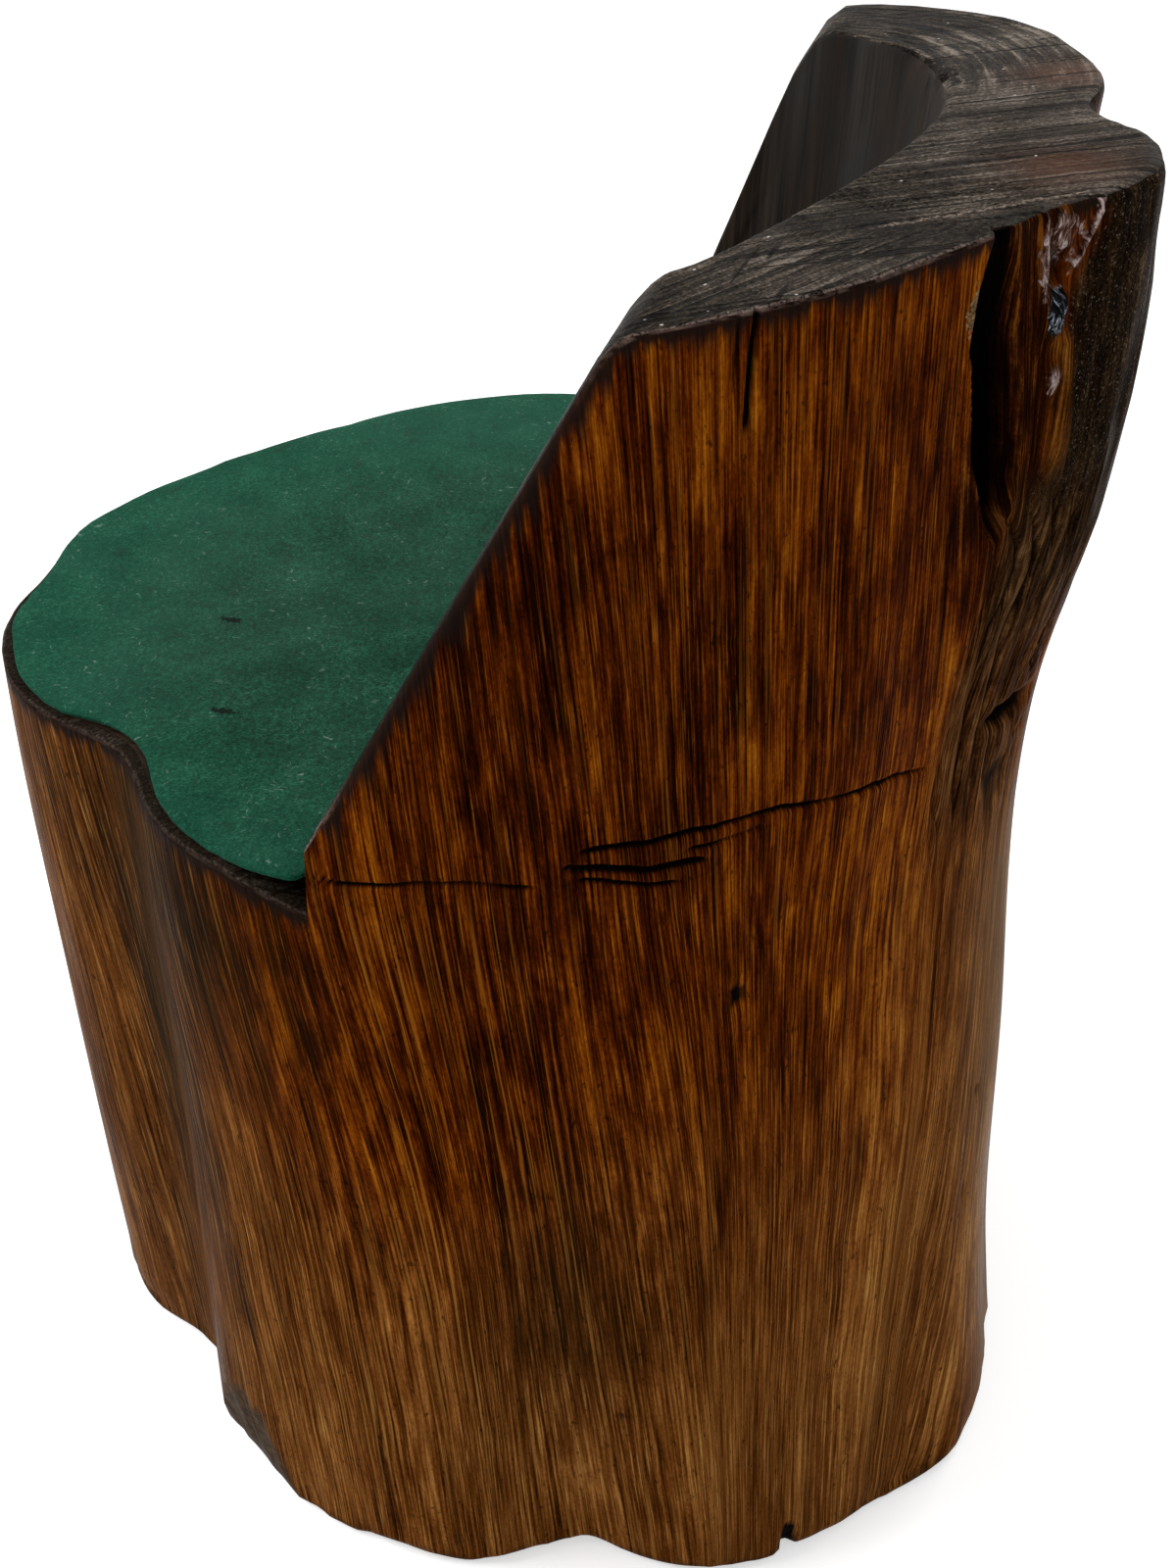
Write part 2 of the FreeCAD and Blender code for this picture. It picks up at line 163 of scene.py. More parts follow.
def smooth_path(points, count):
    """Points along a Catmull-Rom curve through some points: on each piece the
    cubic whose end slopes are half the steps between the neighbours."""
    before, after = 2 * points[:1] - points[1:2], 2 * points[-1:] - points[-2:-1]
    padded = np.concatenate([before, points, after])
    t = np.linspace(0, len(points) - 1, count)
    k = np.minimum(t.astype(int), len(points) - 2)
    u = (t - k)[:, None]
    p0, p1, p2, p3 = padded[k], padded[k + 1], padded[k + 2], padded[k + 3]
    bend = (2 * p0 - 5 * p1 + 4 * p2 - p3) * u ** 2 + (3 * p1 - p0 - 3 * p2 + p3) * u ** 3
    return 0.5 * (2 * p1 + (p2 - p0) * u + bend)


hollow_path = smooth_path(HOLLOW_SHARES, 801)
hollow_steps = np.linspace(0, 1, len(hollow_path))
hollow_deepest = int(np.argmax(hollow_path[:, 1]))


def hollow_depth(height):
    """Depth of the hollow behind the origin; it grows evenly with height."""
    rise = (height - SEAT_HEIGHT) / (CROWN_PIVOT_HEIGHT - SEAT_HEIGHT)
    return SEAT_HOLLOW_DEPTH + rise * (CROWN_HOLLOW_DEPTH - SEAT_HOLLOW_DEPTH)


def hollow_point(along, height):
    """X and Y of the hollow's face at a share of its path and a height."""
    x = np.interp(along, hollow_steps, hollow_path[:, 0]) * HOLLOW_HALF_WIDTH
    return x, np.interp(along, hollow_steps, hollow_path[:, 1]) * hollow_depth(height)


# Columns of the trunk's surface, closer together where its marks are fine:
# first bearing, last bearing and number of columns of each stretch, of the
# wings and the back first and then of the open front.
BACK_STRETCHES = [
    (-3.15, 15, 25), (15, 31.5, 22), (31.5, 35.5, 16), (35.5, 52, 22),
    (52, 55.5, 4), (55.5, 61, 24), (61, 62.5, 4), (62.5, 70, 30), (70, 80, 16), (80, 105, 22),
    (105, 176.7, 38),
]
FRONT_STRETCHES = [(178, 270, 34), (270, 345, 54), (345, 356.78, 16)]


def column_bearings(stretches):
    """Bearings in even steps over each stretch, up to the end of the last."""
    steps = [np.linspace(*stretch, endpoint=stretch is stretches[-1]) for stretch in stretches]
    return np.concatenate(steps)


back_bearings = column_bearings(BACK_STRETCHES)
bearings = np.concatenate([back_bearings, column_bearings(FRONT_STRETCHES)])
BACK = len(back_bearings)
COLUMNS = len(bearings)
in_back = np.arange(COLUMNS) < BACK


def value_noise(around, up, cells, cell_height, seed):
    """Smooth noise from -1 to 1: random numbers on a lattice with so many cells
    round the trunk and one row each cell height, blended by 3t² - 2t³."""
    random = np.random.default_rng(seed)
    up = up / cell_height
    rows = int(up.max()) + 3
    lattice = random.uniform(-1, 1, (cells, rows))
    around = (around / FULL_TURN % 1) * cells
    i, j = np.floor(around).astype(int), np.clip(np.floor(up).astype(int), 0, rows - 2)
    u, v = around - i, up - j
    u, v = u * u * (3 - 2 * u), v * v * (3 - 2 * v)
    i, k = i % cells, (i + 1) % cells
    near = lattice[i, j] * (1 - v) + lattice[i, j + 1] * v
    far = lattice[k, j] * (1 - v) + lattice[k, j + 1] * v
    return near * (1 - u) + far * u


def round_noise(bearing, cells, seed):
    """The same noise for what changes round the trunk, but not with height."""
    return value_noise(bearing, bearing * 0, cells, 1, seed)


def patches(spots, bearing, height):
    """Soft patches added up: each is an amount times a bell curve of the turn
    from its middle and one of the height above it."""
    total = 0
    for middle, level, turn_spread, height_spread, amount in spots:
        turn_share = bell(turn_from(bearing, middle), turn_spread)
        total = total + amount * turn_share * bell(height - level, height_spread)
    return total


# Marks on the side. Saw kerfs: bearings and heights of a line, half its width
# and its depth. Dents: bearing, height, half width, half height and depth.
KERFS = [
    ((21, 31, 41, 52, 63.5), (0.439, 0.443, 0.445, 0.435, 0.424), 0.0009, 0.0032),
    ((19.5, 27, 34), (0.432, 0.4285, 0.4285), 0.0011, 0.0036),
    ((20.5, 26, 31.5), (0.4265, 0.422, 0.4195), 0.0008, 0.0025),
    ((31.0, 36.0, 40.0), (0.4340, 0.4365, 0.4385), 0.0009, 0.0020),
    ((-3.1, 7, 18), (0.424, 0.425, 0.4225), 0.0009, 0.0018),
]
DENTS = [
    (33.6, 0.634, 0.0010, 0.017, 0.0055), (32.2, 0.640, 0.0009, 0.012, 0.0015),
    (47.6, 0.523, 0.0009, 0.014, 0.0014), (37.1, 0.356, 0.0035, 0.0050, 0.0020),
    (36.0, 0.350, 0.0022, 0.005, 0.0014), (43.9, 0.326, 0.0022, 0.003, 0.0014),
    (29.8, 0.333, 0.0018, 0.003, 0.0010), (52.4, 0.238, 0.0014, 0.010, 0.0012),
    (74.0, 0.216, 0.0022, 0.004, 0.0016), (68.4, 0.281, 0.0018, 0.003, 0.0010),
    (19.6, 0.578, 0.0050, 0.0022, 0.0008), (19.7, 0.534, 0.0045, 0.0025, 0.0010),
    (32.8, 0.529, 0.0020, 0.0025, 0.0012), (34.2, 0.526, 0.0018, 0.0025, 0.0010),
    (53.8, 0.500, 0.0022, 0.0030, 0.0008), (60.0, 0.163, 0.0060, 0.0040, 0.0008),
    (31.3, 0.225, 0.0045, 0.0040, 0.0008), (70.4, 0.163, 0.0035, 0.0060, 0.0010),
    (23.2, 0.109, 0.0030, 0.0040, 0.0014), (34.5, 0.156, 0.0050, 0.0030, 0.0008),
    (41.0, 0.006, 0.0030, 0.0120, 0.0060), (-41.0, 0.140, 0.0012, 0.0080, 0.0010),
]
# Fissure in the back's near half: heights, and its two edges' bearings there
FISSURE_HEIGHTS = (0.530, 0.545, 0.560, 0.582, 0.603, 0.623, 0.642, 0.656, 0.672)
FISSURE_LEFT = (64.0, 62.4, 60.7, 58.9, 57.6, 56.5, 56.1, 56.7, 57.8)
FISSURE_RIGHT = (64.3, 64.9, 65.1, 64.6, 63.9, 63.2, 61.8, 60.4, 59.6)
FISSURE_DEPTH, FISSURE_CROWN_SHARE = 0.034, 0.16
# Broad dips of the side between the sections: bearing, height, their spreads
# and the depth
DIPS = [
    (86, 0.510, 10, 0.045, 0.0040), (88, 0.090, 12, 0.050, 0.0040),
    (-82, 0.360, 14, 0.050, -0.0030),
]
# The oblique saw cut at the foot
FACET_BEARING, FACET_REACH, FACET_HEIGHT, FACET_LEAN = -35, 0.236, 0.075, math.radians(6)


def chip_share(bearing, height):
    """The torn chip that stands in the fissure's mouth: a bell curve."""
    return bell(turn_from(bearing, 56.0), 0.50) * bell(height - 0.636, 0.0060)


def under_crown(height):
    """The fissure's share of its full depth, which is less under the crown."""
    return 1 - (1 - FISSURE_CROWN_SHARE) * ramp(height, 0.610, 0.662)


def fissure_depth(bearing, height):
    """From the mouth's left edge a steep wall down to the full depth, then a
    slanted one that rises with the 1.4th power of the way to the right edge;
    less deep under the crown and fading out at the lower end."""
    left = np.interp(height, FISSURE_HEIGHTS, FISSURE_LEFT)
    right = np.interp(height, FISSURE_HEIGHTS, FISSURE_RIGHT)
    left = left + 0.30 * value_noise(bearing * 0, height, 1, 0.016, 3)
    signed = turn_from(bearing, 0)
    way = np.clip((signed - left) / np.maximum(right - left, 0.3), 0, 1)
    deepest = FISSURE_DEPTH * under_crown(height) * (1 - 0.6 * chip_share(bearing, height))
    walls = ramp(signed, left - 0.1, left + 0.7) * (1 - way ** 1.4)
    return deepest * walls * ramp(height, 0.527, 0.552)


def kerf_depth(bearing, height):
    """Each kerf's depth times a bell curve of the height above its line."""
    depth = np.zeros(np.broadcast(bearing, height).shape)
    signed = turn_from(bearing, 0)
    for line_bearings, line_heights, half_width, deepest in KERFS:
        line = np.interp(signed, line_bearings, line_heights)
        line = line + 0.0008 * round_noise(bearing, 170, 11)
        ends = ramp(signed, line_bearings[0] - 0.4, line_bearings[0] + 1.5)
        ends = ends * (1 - ramp(signed, line_bearings[-1] - 2, line_bearings[-1] + 0.4))
        torn = 0.85 + 0.40 * round_noise(bearing, 140, 14)
        depth = np.maximum(depth, deepest * ends * torn * bell(height - line, half_width))
    return depth


def dent_depth(bearing, height):
    """Each dent's depth times a flat-bottomed bell of the distance from it."""
    depth = np.zeros(np.broadcast(bearing, height).shape)
    for middle, level, half_width, half_height, deepest in DENTS:
        across = np.radians(turn_from(bearing, middle)) * MEAN_RADII[1] / half_width
        along = (height - level) / half_height
        depth = np.maximum(depth, deepest * np.exp(-((across ** 2 + along ** 2) ** 1.5) / 2))
    return depth


def pitted_share(bearing, height):
    """How far the rough pitted scar beside the fissure reaches: 0 to 1."""
    signed = turn_from(bearing, 0)
    wander = 1.2 * value_noise(bearing, height, 90, 0.03, 5)
    start = np.interp(height, (0.50, 0.60, 0.64), (65.0, 68.2, 69.5))
    sides = ramp(signed + wander - start, -1.2, 1.2) * (1 - ramp(signed + 9 * wander, 84, 128))
    ragged = 0.012 + 0.050 * ramp(signed, 88, 106)
    return sides * ramp(height + ragged * wander, 0.44, 0.52)


def wavy_share(bearing, height):
    """How far the wavy callus grain below the fissure reaches: 0 to 1."""
    signed = turn_from(bearing, 0)
    sides = ramp(signed, 62.5, 66.5) * (1 - ramp(signed, 74, 82))
    return sides * ramp(height, 0.33, 0.42) * (1 - ramp(height, 0.53, 0.57))


def callus_parts(bearing, height):
    """The healed wood right of the fissure, each part a bell curve about its
    line or middle: a pale arch with two legs and a curl, a bulb between the
    legs, a rib down to the fissure's foot, and a torn cavity."""
    signed = turn_from(bearing, 0)
    left_leg = bell(signed - (64.5 + 30 * (0.650 - height)), 0.40)
    left_leg = left_leg * bell(height - 0.646, 0.013)
    right_leg = bell(signed - (68.6 + 87 * (height - 0.652)), 0.24)
    right_leg = right_leg * ramp(height, 0.636, 0.645)
    arch = 0.65 * bell(signed - 66.4, 1.3) * bell(height - 0.6595, 0.0024)
    curl = bell(signed - 66.75, 0.40) * bell(height - 0.5995, 0.0045)
    bulb = bell(signed - 66.6, 0.85) * bell(height - 0.6255, 0.0065)
    rib = bell(signed - np.interp(height, (0.56, 0.60, 0.616), (68.7, 67.9, 67.4)), 0.8)
    rib = rib * ramp(height, 0.545, 0.575) * (1 - ramp(height, 0.612, 0.622))
    cavity = bell(signed - 66.5, 0.55) * bell(height - 0.6405, 0.0055)
    pale = np.maximum(np.maximum(left_leg, right_leg), np.maximum(arch, curl))
    return pale, bulb, rib, cavity


def callus_height(bearing, height):
    """The heights of those parts added up, with wrinkles between the legs."""
    pale, bulb, rib, cavity = callus_parts(bearing, height)
    wrinkles = 0.0010 * value_noise(bearing, height, 520, 0.010, 15)
    wrinkles = wrinkles * bell(turn_from(bearing, 66.3), 1.6) * ramp(height, 0.605, 0.62)
    return 0.0030 * pale + 0.0040 * bulb + 0.0034 * rib + wrinkles - 0.0060 * cavity


def fold_line(bearing, height):
    """Crevices between the folds of the wavy grain, painted dark as shade: 1 where
    a wandering sine is nought, falling off as a bell curve of its value."""
    wander = 3.4 * value_noise(bearing, height, 80, 0.040, 10)
    return bell(np.sin(turn_from(bearing, 0) * 1.35 + 42 * height + wander), 0.30)


FURROW_DEPTH = 0.0011


def furrow_depth(bearing, height):
    """Upright furrows of the barky scar: two noises, taller than wide."""
    furrows = value_noise(bearing, height, 240, 0.045, 8)
    furrows = furrows + 0.6 * value_noise(bearing, height, 410, 0.022, 9)
    return FURROW_DEPTH * np.clip(furrows, -0.5, 1.2)


def gash_share(bearing, height):
    """The slanted gash at the right: a bell curve of the height above its
    line times one of the turn from its middle."""
    away = turn_from(bearing, 74.5)
    return bell(height - 0.4345 - 0.0006 * away, 0.0036) * bell(away, 2.2)


def side_depth(bearing, height):
    """How far the worked surface lies inside the trunk's smooth outline: broad
    hollows left by the drawknife, ridges along the grain, the scars, the dips
    beside the fissure and down the back, a chipped foot, and each mark."""
    grain = bearing + grain_drift(bearing, height)
    broad = 0.0013 * value_noise(bearing, height, 26, 0.17, 1)
    broad = broad + 0.0006 * value_noise(bearing, height, 58, 0.09, 2)
    ridges = 0.00035 * value_noise(grain, height, 130, 0.20, 6)
    ridges = ridges + 0.00020 * value_noise(grain, height, 300, 0.15, 7)
    scar = furrow_depth(bearing, height) * pitted_share(bearing, height)
    wavy = 0.0022 * fold_line(bearing, height) * wavy_share(bearing, height)
    gash = 0.0075 * gash_share(bearing, height)
    sunk = 0.0055 * bell(turn_from(bearing, 66), 4) * ramp(height, 0.55, 0.65)
    sunk = sunk - 0.0062 * bell(turn_from(bearing, 88.5), 4.5) * ramp(height, 0.54, 0.63)
    sunk = sunk + patches(DIPS, bearing, height)
    chips = 0.0030 * np.clip(value_noise(bearing, height, 95, 0.02, 16), -0.2, 1)
    chips = chips * ramp(-height, -0.028, 0)
    depth = broad + ridges + scar + wavy + gash + sunk + chips - callus_height(bearing, height)
    marks = np.maximum(kerf_depth(bearing, height), dent_depth(bearing, height))
    return depth + np.maximum(marks, fissure_depth(bearing, height))


# How the grain leans: degrees of bearing per metre down, at these bearings and
# at four heights, from the foot up
LEAN_BEARINGS = (-60, -22, -8, 2, 10, 22, 30, 37, 45, 54, 62, 67, 80)
LEAN_HEIGHTS = (0.10, 0.25, 0.38, 0.46)
LEANS = np.array([
    (0, 10, 9, 10, 5, 20, 14, -10, -20, -40, -90, -60, -20),
    (0, 15, 8, 18, 10, 14, 16, -2, -17, -22, -45, -55, -20),
    (0, 45, 25, 36, 21, 20, 32, 12, -8, -30, -20, 0, 0),
    (0, 10, 15, 20, 20, 30, 22, 22, 23, 25, 50, 5, 0),
])


def grain_drift(bearing, height):
    """Degrees back to the bearing at which the same grain meets the crown: the
    lean, blended between the four heights, followed up in ten short steps."""
    here, up = bearing + 0 * height, height + 0 * bearing
    rise = (SECTION_HEIGHTS[-1] - up) / 10
    for step in range(10):
        signed = turn_from(here, 0)
        leans = [np.interp(signed, LEAN_BEARINGS, row, 0, 0) for row in LEANS]
        lean = leans[0]
        for low, high, lean_above in zip(LEAN_HEIGHTS, LEAN_HEIGHTS[1:], leans[1:]):
            lean = lean + (lean_above - lean) * np.clip((up - low) / (high - low), 0, 1)
        here, up = here - lean * rise, up + rise
    return here - bearing


def faceted(bearing, height, inset):
    """The inset, or more where the oblique saw cut took off the foot's corner:
    the radius at which a leaning plane square to the facet's bearing stands."""
    facing = np.cos(np.radians(turn_from(bearing, FACET_BEARING)))
    plane = FACET_REACH + height * math.tan(FACET_LEAN)
    plane = plane + 0.0012 * value_noise(bearing, height, 200, 0.02, 12)
    cut = trunk_radius(height, bearing) - plane / np.maximum(facing, 0.1)
    return np.where((facing > 0.5) & (height < FACET_HEIGHT), np.maximum(inset, cut), inset)


# The profile of each column: from the middle of the underside over the worn
# arris of the foot, up the side, over the rim and the sawn top to the hollow.
FOOT_BEVEL = 0.009
SIDE_ROWS, RIM_ROWS, TOP_ROWS, WALL_ROWS = 228, 5, 25, 42
rim_radius = 0.0028 + 0.0050 * bell(turn_from(bearings, 80), 9)
rim_radius = rim_radius + 0.004 * bell(turn_from(bearings, 135), 25)
slanted = ramp(turn_from(bearings, 0), -3, 1) * (1 - ramp(turn_from(bearings, 0), 19, 27))
rim_radius = rim_radius + 0.0065 * slanted + 0.0012 * round_noise(bearings, 60, 13)

# the height at which each column meets the sawn top, found by halving
low, high = np.full(COLUMNS, 0.30), np.full(COLUMNS, 0.75)
for halving in range(40):
    middle = (low + high) / 2
    x, y = outline_point(middle, bearings)
    under = middle < np.where(in_back, back_top(x, y), seat_top(x, y))
    low, high = np.where(under, middle, low), np.where(under, high, middle)
edge_height = low

# rows of the side, closer together at the kerfs and from there up
heights = np.linspace(0, 0.70, 2801)
closeness = 1 + 5 * ramp(heights, 0.408, 0.416) * (1 - ramp(heights, 0.448, 0.456))
row_count = np.cumsum(closeness + 0.7 * ramp(heights, 0.47, 0.49))
row_share = np.linspace(0, 1, SIDE_ROWS)[:, None]
row_start = np.interp(FOOT_BEVEL, heights, row_count)
row_end = np.interp(edge_height - rim_radius, heights, row_count)
side_z = np.interp(row_start + row_share * (row_end - row_start), row_count, heights)
side_b = np.broadcast_to(bearings, side_z.shape)
side_inset = faceted(side_b, side_z, side_depth(side_b, side_z))
side_x, side_y = outline_point(side_z, side_b, side_inset)
side = np.stack([side_x, side_y, side_z], -1)


def rounded(start, corner, end, rows):
    """Rows of points round a corner, on the parabola that leaves the start and
    reaches the end along the corner's two sides."""
    t = np.linspace(0, 1, rows + 2)[1:-1, None, None]
    return (1 - t) ** 2 * start + 2 * t * (1 - t) * corner + t ** 2 * end


def raised(x, y, z):
    """Points with these coordinates, as one array."""
    return np.stack([x, y, np.broadcast_to(z, np.shape(x))], -1)


# the underside, from its middle out, and the arris of the foot
foot_inset = faceted(bearings, 0 * bearings, side_depth(bearings, 0 * bearings))
foot_corner = raised(*outline_point(0 * bearings, bearings, foot_inset), 0)
foot_middle = np.array([0, SETBACKS[0], 0])
foot_end = foot_middle + (foot_corner - foot_middle) * (1 - 0.010 / MEAN_RADII[0])
underside = np.stack([foot_middle + (foot_end - foot_middle) * s for s in (0.35, 0.7, 0.9, 1)])
foot_arris = rounded(foot_end, foot_corner, side[0], 3)

# where each column crosses from the rim to the hollow or to the seat
corner_inset = side_depth(bearings, edge_height)
corner_x, corner_y = outline_point(edge_height, bearings, corner_inset)
tips = np.flatnonzero(np.diff((edge_height[:BACK] > 0.632).astype(int)))
near_tip, far_tip = int(tips[0]) + 1, int(tips[-1])
path_x, path_y = hollow_path[:, 0] * HOLLOW_HALF_WIDTH, hollow_path[:, 1] * CROWN_HOLLOW_DEPTH
path_bearing = turn_from(np.degrees(np.arctan2(path_y, path_x)), 90) + 90
along = np.zeros(COLUMNS)
wanted = corner_y[:BACK] / hollow_depth(edge_height[:BACK])
for wing, stretch in (
    (slice(0, near_tip), slice(0, hollow_deepest)),
    (slice(far_tip, BACK), slice(None, hollow_deepest - 1, -1)),
):
    along[wing] = np.interp(wanted[wing], hollow_path[stretch, 1], hollow_steps[stretch])
tip_columns = [near_tip - 1, far_tip]
tip_bearings = np.interp(along[tip_columns], hollow_steps, path_bearing)
inner_bearing = np.interp(bearings[near_tip:far_tip], bearings[tip_columns], tip_bearings)
along[near_tip:far_tip] = np.interp(inner_bearing, path_bearing, hollow_steps)

inner_height = np.full(COLUMNS, SEAT_HEIGHT)
inner_height[:BACK] = edge_height[:BACK]
for settle in range(12):
    inner_x, inner_y = hollow_point(along, inner_height)
    inner_height = np.where(in_back, back_top(inner_x, inner_y), SEAT_HEIGHT)
ring_share = np.interp(bearings, (176, 358), (0.815, 0.820))
seat_middle = np.array([0, 0.020, SEAT_HEIGHT])
inner_x = np.where(in_back, inner_x, ring_share * corner_x)
inner_y = np.where(in_back, inner_y, seat_middle[1] + ring_share * (corner_y - seat_middle[1]))


def torn_lip(bearing):
    """How far the inner edge of the crown is torn: most beside bearing 122."""
    rough = np.abs(round_noise(bearing, 170, 21)) + 0.25
    return bell(turn_from(bearing, 122), 9) * rough * 0.008


def wave_depth(x, y):
    """Depth of the soft waves left by the saw and the sander on the sawn top:
    noise in coordinates turned to the saw's strokes."""
    across = 0.930 * x + 0.368 * y
    stroke = 0.930 * y - 0.368 * x
    return 0.00035 * value_noise(across * 700, stroke + 1, 2160, 0.09, 31)


# the rim and the sawn top, row by row from the outside to the inside
width = np.hypot(inner_x - corner_x, inner_y - corner_y)
inner_rounding = 0.0032 + torn_lip(bearings)
start_share = rim_radius / width
end_share = np.where(in_back, 1 - inner_rounding / width, 1)
top_shares = start_share + np.linspace(0, 1, TOP_ROWS)[:, None] * (end_share - start_share)
top_x = corner_x + top_shares * (inner_x - corner_x)
top_y = corner_y + top_shares * (inner_y - corner_y)
top_z = np.where(in_back, back_top(top_x, top_y), seat_top(top_x, top_y))
top_z = top_z - wave_depth(top_x, top_y) * in_back
top = np.stack([top_x, top_y, top_z], -1)
rim_corner = raised(corner_x, corner_y, edge_height)
rim = rounded(side[-1], rim_corner, top[0], RIM_ROWS)

# the inner edge and the face of the hollow, down to the seat
wall_start = inner_height[:BACK] - inner_rounding[:BACK]
wall_shares = np.linspace(0, 1, WALL_ROWS)[:, None]
wall_z = wall_start + wall_shares * (SEAT_HEIGHT - wall_start)
wall_x, wall_y = hollow_point(along[:BACK], wall_z)
outwards = np.stack([corner_x - inner_x, corner_y - inner_y], -1)[:BACK] / width[:BACK, None]
stroke_place = along[:BACK] * 700
gouged = 0.0011 * value_noise(stroke_place, wall_z, 90, 0.13, 41)
gouged = gouged + 0.0005 * value_noise(stroke_place, wall_z, 300, 0.09, 42)
gouged = gouged + 0.0014 * ramp(value_noise(stroke_place, wall_z, 210, 0.06, 43), 0.72, 0.9)
wall_x, wall_y = wall_x + gouged * outwards[:, 0], wall_y + gouged * outwards[:, 1]
wall = np.stack([wall_x, wall_y, wall_z], -1)
inner_corner = raised(inner_x, inner_y, inner_height)[:BACK]
inner_edge = rounded(top[-1, :BACK], inner_corner, wall[0], 3)

# the seat under the felt, from the foot of that face to the middle
seat_edge = top[-1].copy()
seat_edge[:BACK] = wall[-1]
seat_rings = np.stack([seat_edge + (seat_middle - seat_edge) * s for s in (0.12, 0.5, 0.8)])

outer = np.concatenate([underside, foot_arris, side, rim, top])
inner = np.concatenate([inner_edge, wall])
OUTER_ROWS, INNER_ROWS = len(outer), len(inner)
points = np.concatenate([
    outer.reshape(-1, 3), inner.reshape(-1, 3), seat_rings.reshape(-1, 3),
    [foot_middle], [seat_middle],
])
outer_index = np.arange(outer.shape[0] * COLUMNS).reshape(OUTER_ROWS, COLUMNS)
inner_index = outer_index.size + np.arange(INNER_ROWS * BACK).reshape(INNER_ROWS, BACK)
seat_index = outer_index.size + inner_index.size + np.arange(3 * COLUMNS).reshape(3, COLUMNS)
foot_pole, seat_pole = len(points) - 2, len(points) - 1


def quads(index, closed):
    """Four-cornered faces of a grid of points, with a row above each row and a
    column beside each column, and round again if it is closed."""
    ahead = np.roll(index, -1, 1) if closed else index[:, 1:]
    here = index if closed else index[:, :-1]
    return np.stack([here[:-1], ahead[:-1], ahead[1:], here[1:]], -1).reshape(-1, 4)


def fan(pole, path):
    """Three-cornered faces between one point and each step of a path."""
    return np.stack([np.full(len(path) - 1, pole), path[:-1], path[1:]], -1)


def round_again(row):
    """A row of points with its first one added at the end."""
    return np.append(row, row[0])


SIDE_FACE, SAWN_FACE, HOLLOW_FACE = 0, 1, 2
outer_kind = np.full(OUTER_ROWS - 1, SIDE_FACE)
outer_kind[OUTER_ROWS - TOP_ROWS - 3:] = SAWN_FACE
inner_kind = np.full(INNER_ROWS, HOLLOW_FACE)
inner_kind[:2] = SAWN_FACE
inner_join = np.concatenate([outer_index[-1:, :BACK], inner_index])
seat_start = outer_index[-1].copy()
seat_start[:BACK] = inner_index[-1]
seat_join = np.concatenate([seat_start[None], seat_index])
face_groups = [
    (quads(outer_index, True), np.repeat(outer_kind, COLUMNS)),
    (quads(inner_join, False), np.repeat(inner_kind, BACK - 1)),
    (quads(seat_join, True), SAWN_FACE),
    (fan(outer_index[-1, -1], inner_join[:, 0]), SAWN_FACE),
    (fan(outer_index[-1, BACK], inner_join[::-1, -1]), SAWN_FACE),
    (fan(foot_pole, round_again(outer_index[0])[::-1]), SIDE_FACE),
    (fan(seat_pole, round_again(seat_index[-1])), SAWN_FACE),
]


def new_piece(name, points, face_groups, sharp_angle):
    """A mesh object from points and groups of faces with their material
    numbers, shaded smooth but for edges sharper than an angle."""
    faces = [face for group, kind in face_groups for face in group.tolist()]
    kinds = np.concatenate([np.broadcast_to(kind, len(group)) for group, kind in face_groups])
    mesh = bpy.data.meshes.new(name)
    mesh.from_pydata(points.tolist(), [], faces)
    mesh.shade_smooth()
    mesh.set_sharp_from_angle(angle=math.radians(sharp_angle))
    mesh.polygons.foreach_set("material_index", kinds.astype(np.int32))
    piece = bpy.data.objects.new(name, mesh)
    bpy.context.scene.collection.objects.link(piece)
    return piece


trunk = new_piece("varnished_trunk", points, face_groups, 48)


def give_attribute(piece, name, values):
    """A number or a vector kept on each of a piece's points."""
    values = np.asarray(values, np.float32)
    kind, key = ("FLOAT_VECTOR", "vector") if values.ndim == 2 else ("FLOAT", "value")
    piece.data.attributes.new(name, kind, "POINT").data.foreach_set(key, values.ravel())


def on_outer_grid(values):
    """Numbers for the outer grid of points, and 0 for all other points."""
    filled = np.zeros(len(points))
    filled[:outer_index.size] = np.broadcast_to(values, outer_index.shape).ravel()
    return filled


# what the finish follows: the grain's and the growth rings' own coordinates,
# and along the rim the distance below it, its wear and painted highlight, and how torn it is
spot_x, spot_y, spot_z = points.T
log_y = spot_y - between(SETBACKS, spot_z)
spot_b = np.degrees(np.arctan2(log_y, spot_x))
signed_b = turn_from(spot_b, 0)
grain_turn = np.radians(spot_b + grain_drift(spot_b, spot_z))
grain_place = [0.24 * np.cos(grain_turn), 0.24 * np.sin(grain_turn), spot_z]
give_attribute(trunk, "grain", np.stack(grain_place, -1))
ring_reach = np.hypot(spot_x, log_y) / trunk_radius(spot_z, spot_b) * MEAN_RADII[-1]
ring_place = [ring_reach, np.radians(spot_b) * MEAN_RADII[-1], spot_z]
give_attribute(trunk, "rings", np.stack(ring_place, -1))
below_rim = np.maximum(edge_height - outer[..., 2], 0)
below_rim = below_rim * np.where(slanted > 0.5, math.sin(NEAR_LEAN), 1)
give_attribute(trunk, "below_rim", on_outer_grid(below_rim))
give_attribute(trunk, "chamfer", on_outer_grid(slanted * in_back))
# the pale line on the rounded rim: partly wear of the varnish, partly a painted highlight along
# the arris
worn_share = 1 - ramp(bearings, 54, 60) + 0.5 * ramp(bearings, 100, 120)
rim_start = OUTER_ROWS - TOP_ROWS - RIM_ROWS
worn = np.zeros(outer_index.shape)
worn[rim_start + 1:rim_start + 4] = np.where(in_back, worn_share, 0.18) * (1 - slanted)
give_attribute(trunk, "worn", on_outer_grid(worn))
torn = np.zeros(len(points))
torn[outer_index[-5:]] = np.linspace(0.3, 1, 5)[:, None] * bell(turn_from(bearings, 122), 9)
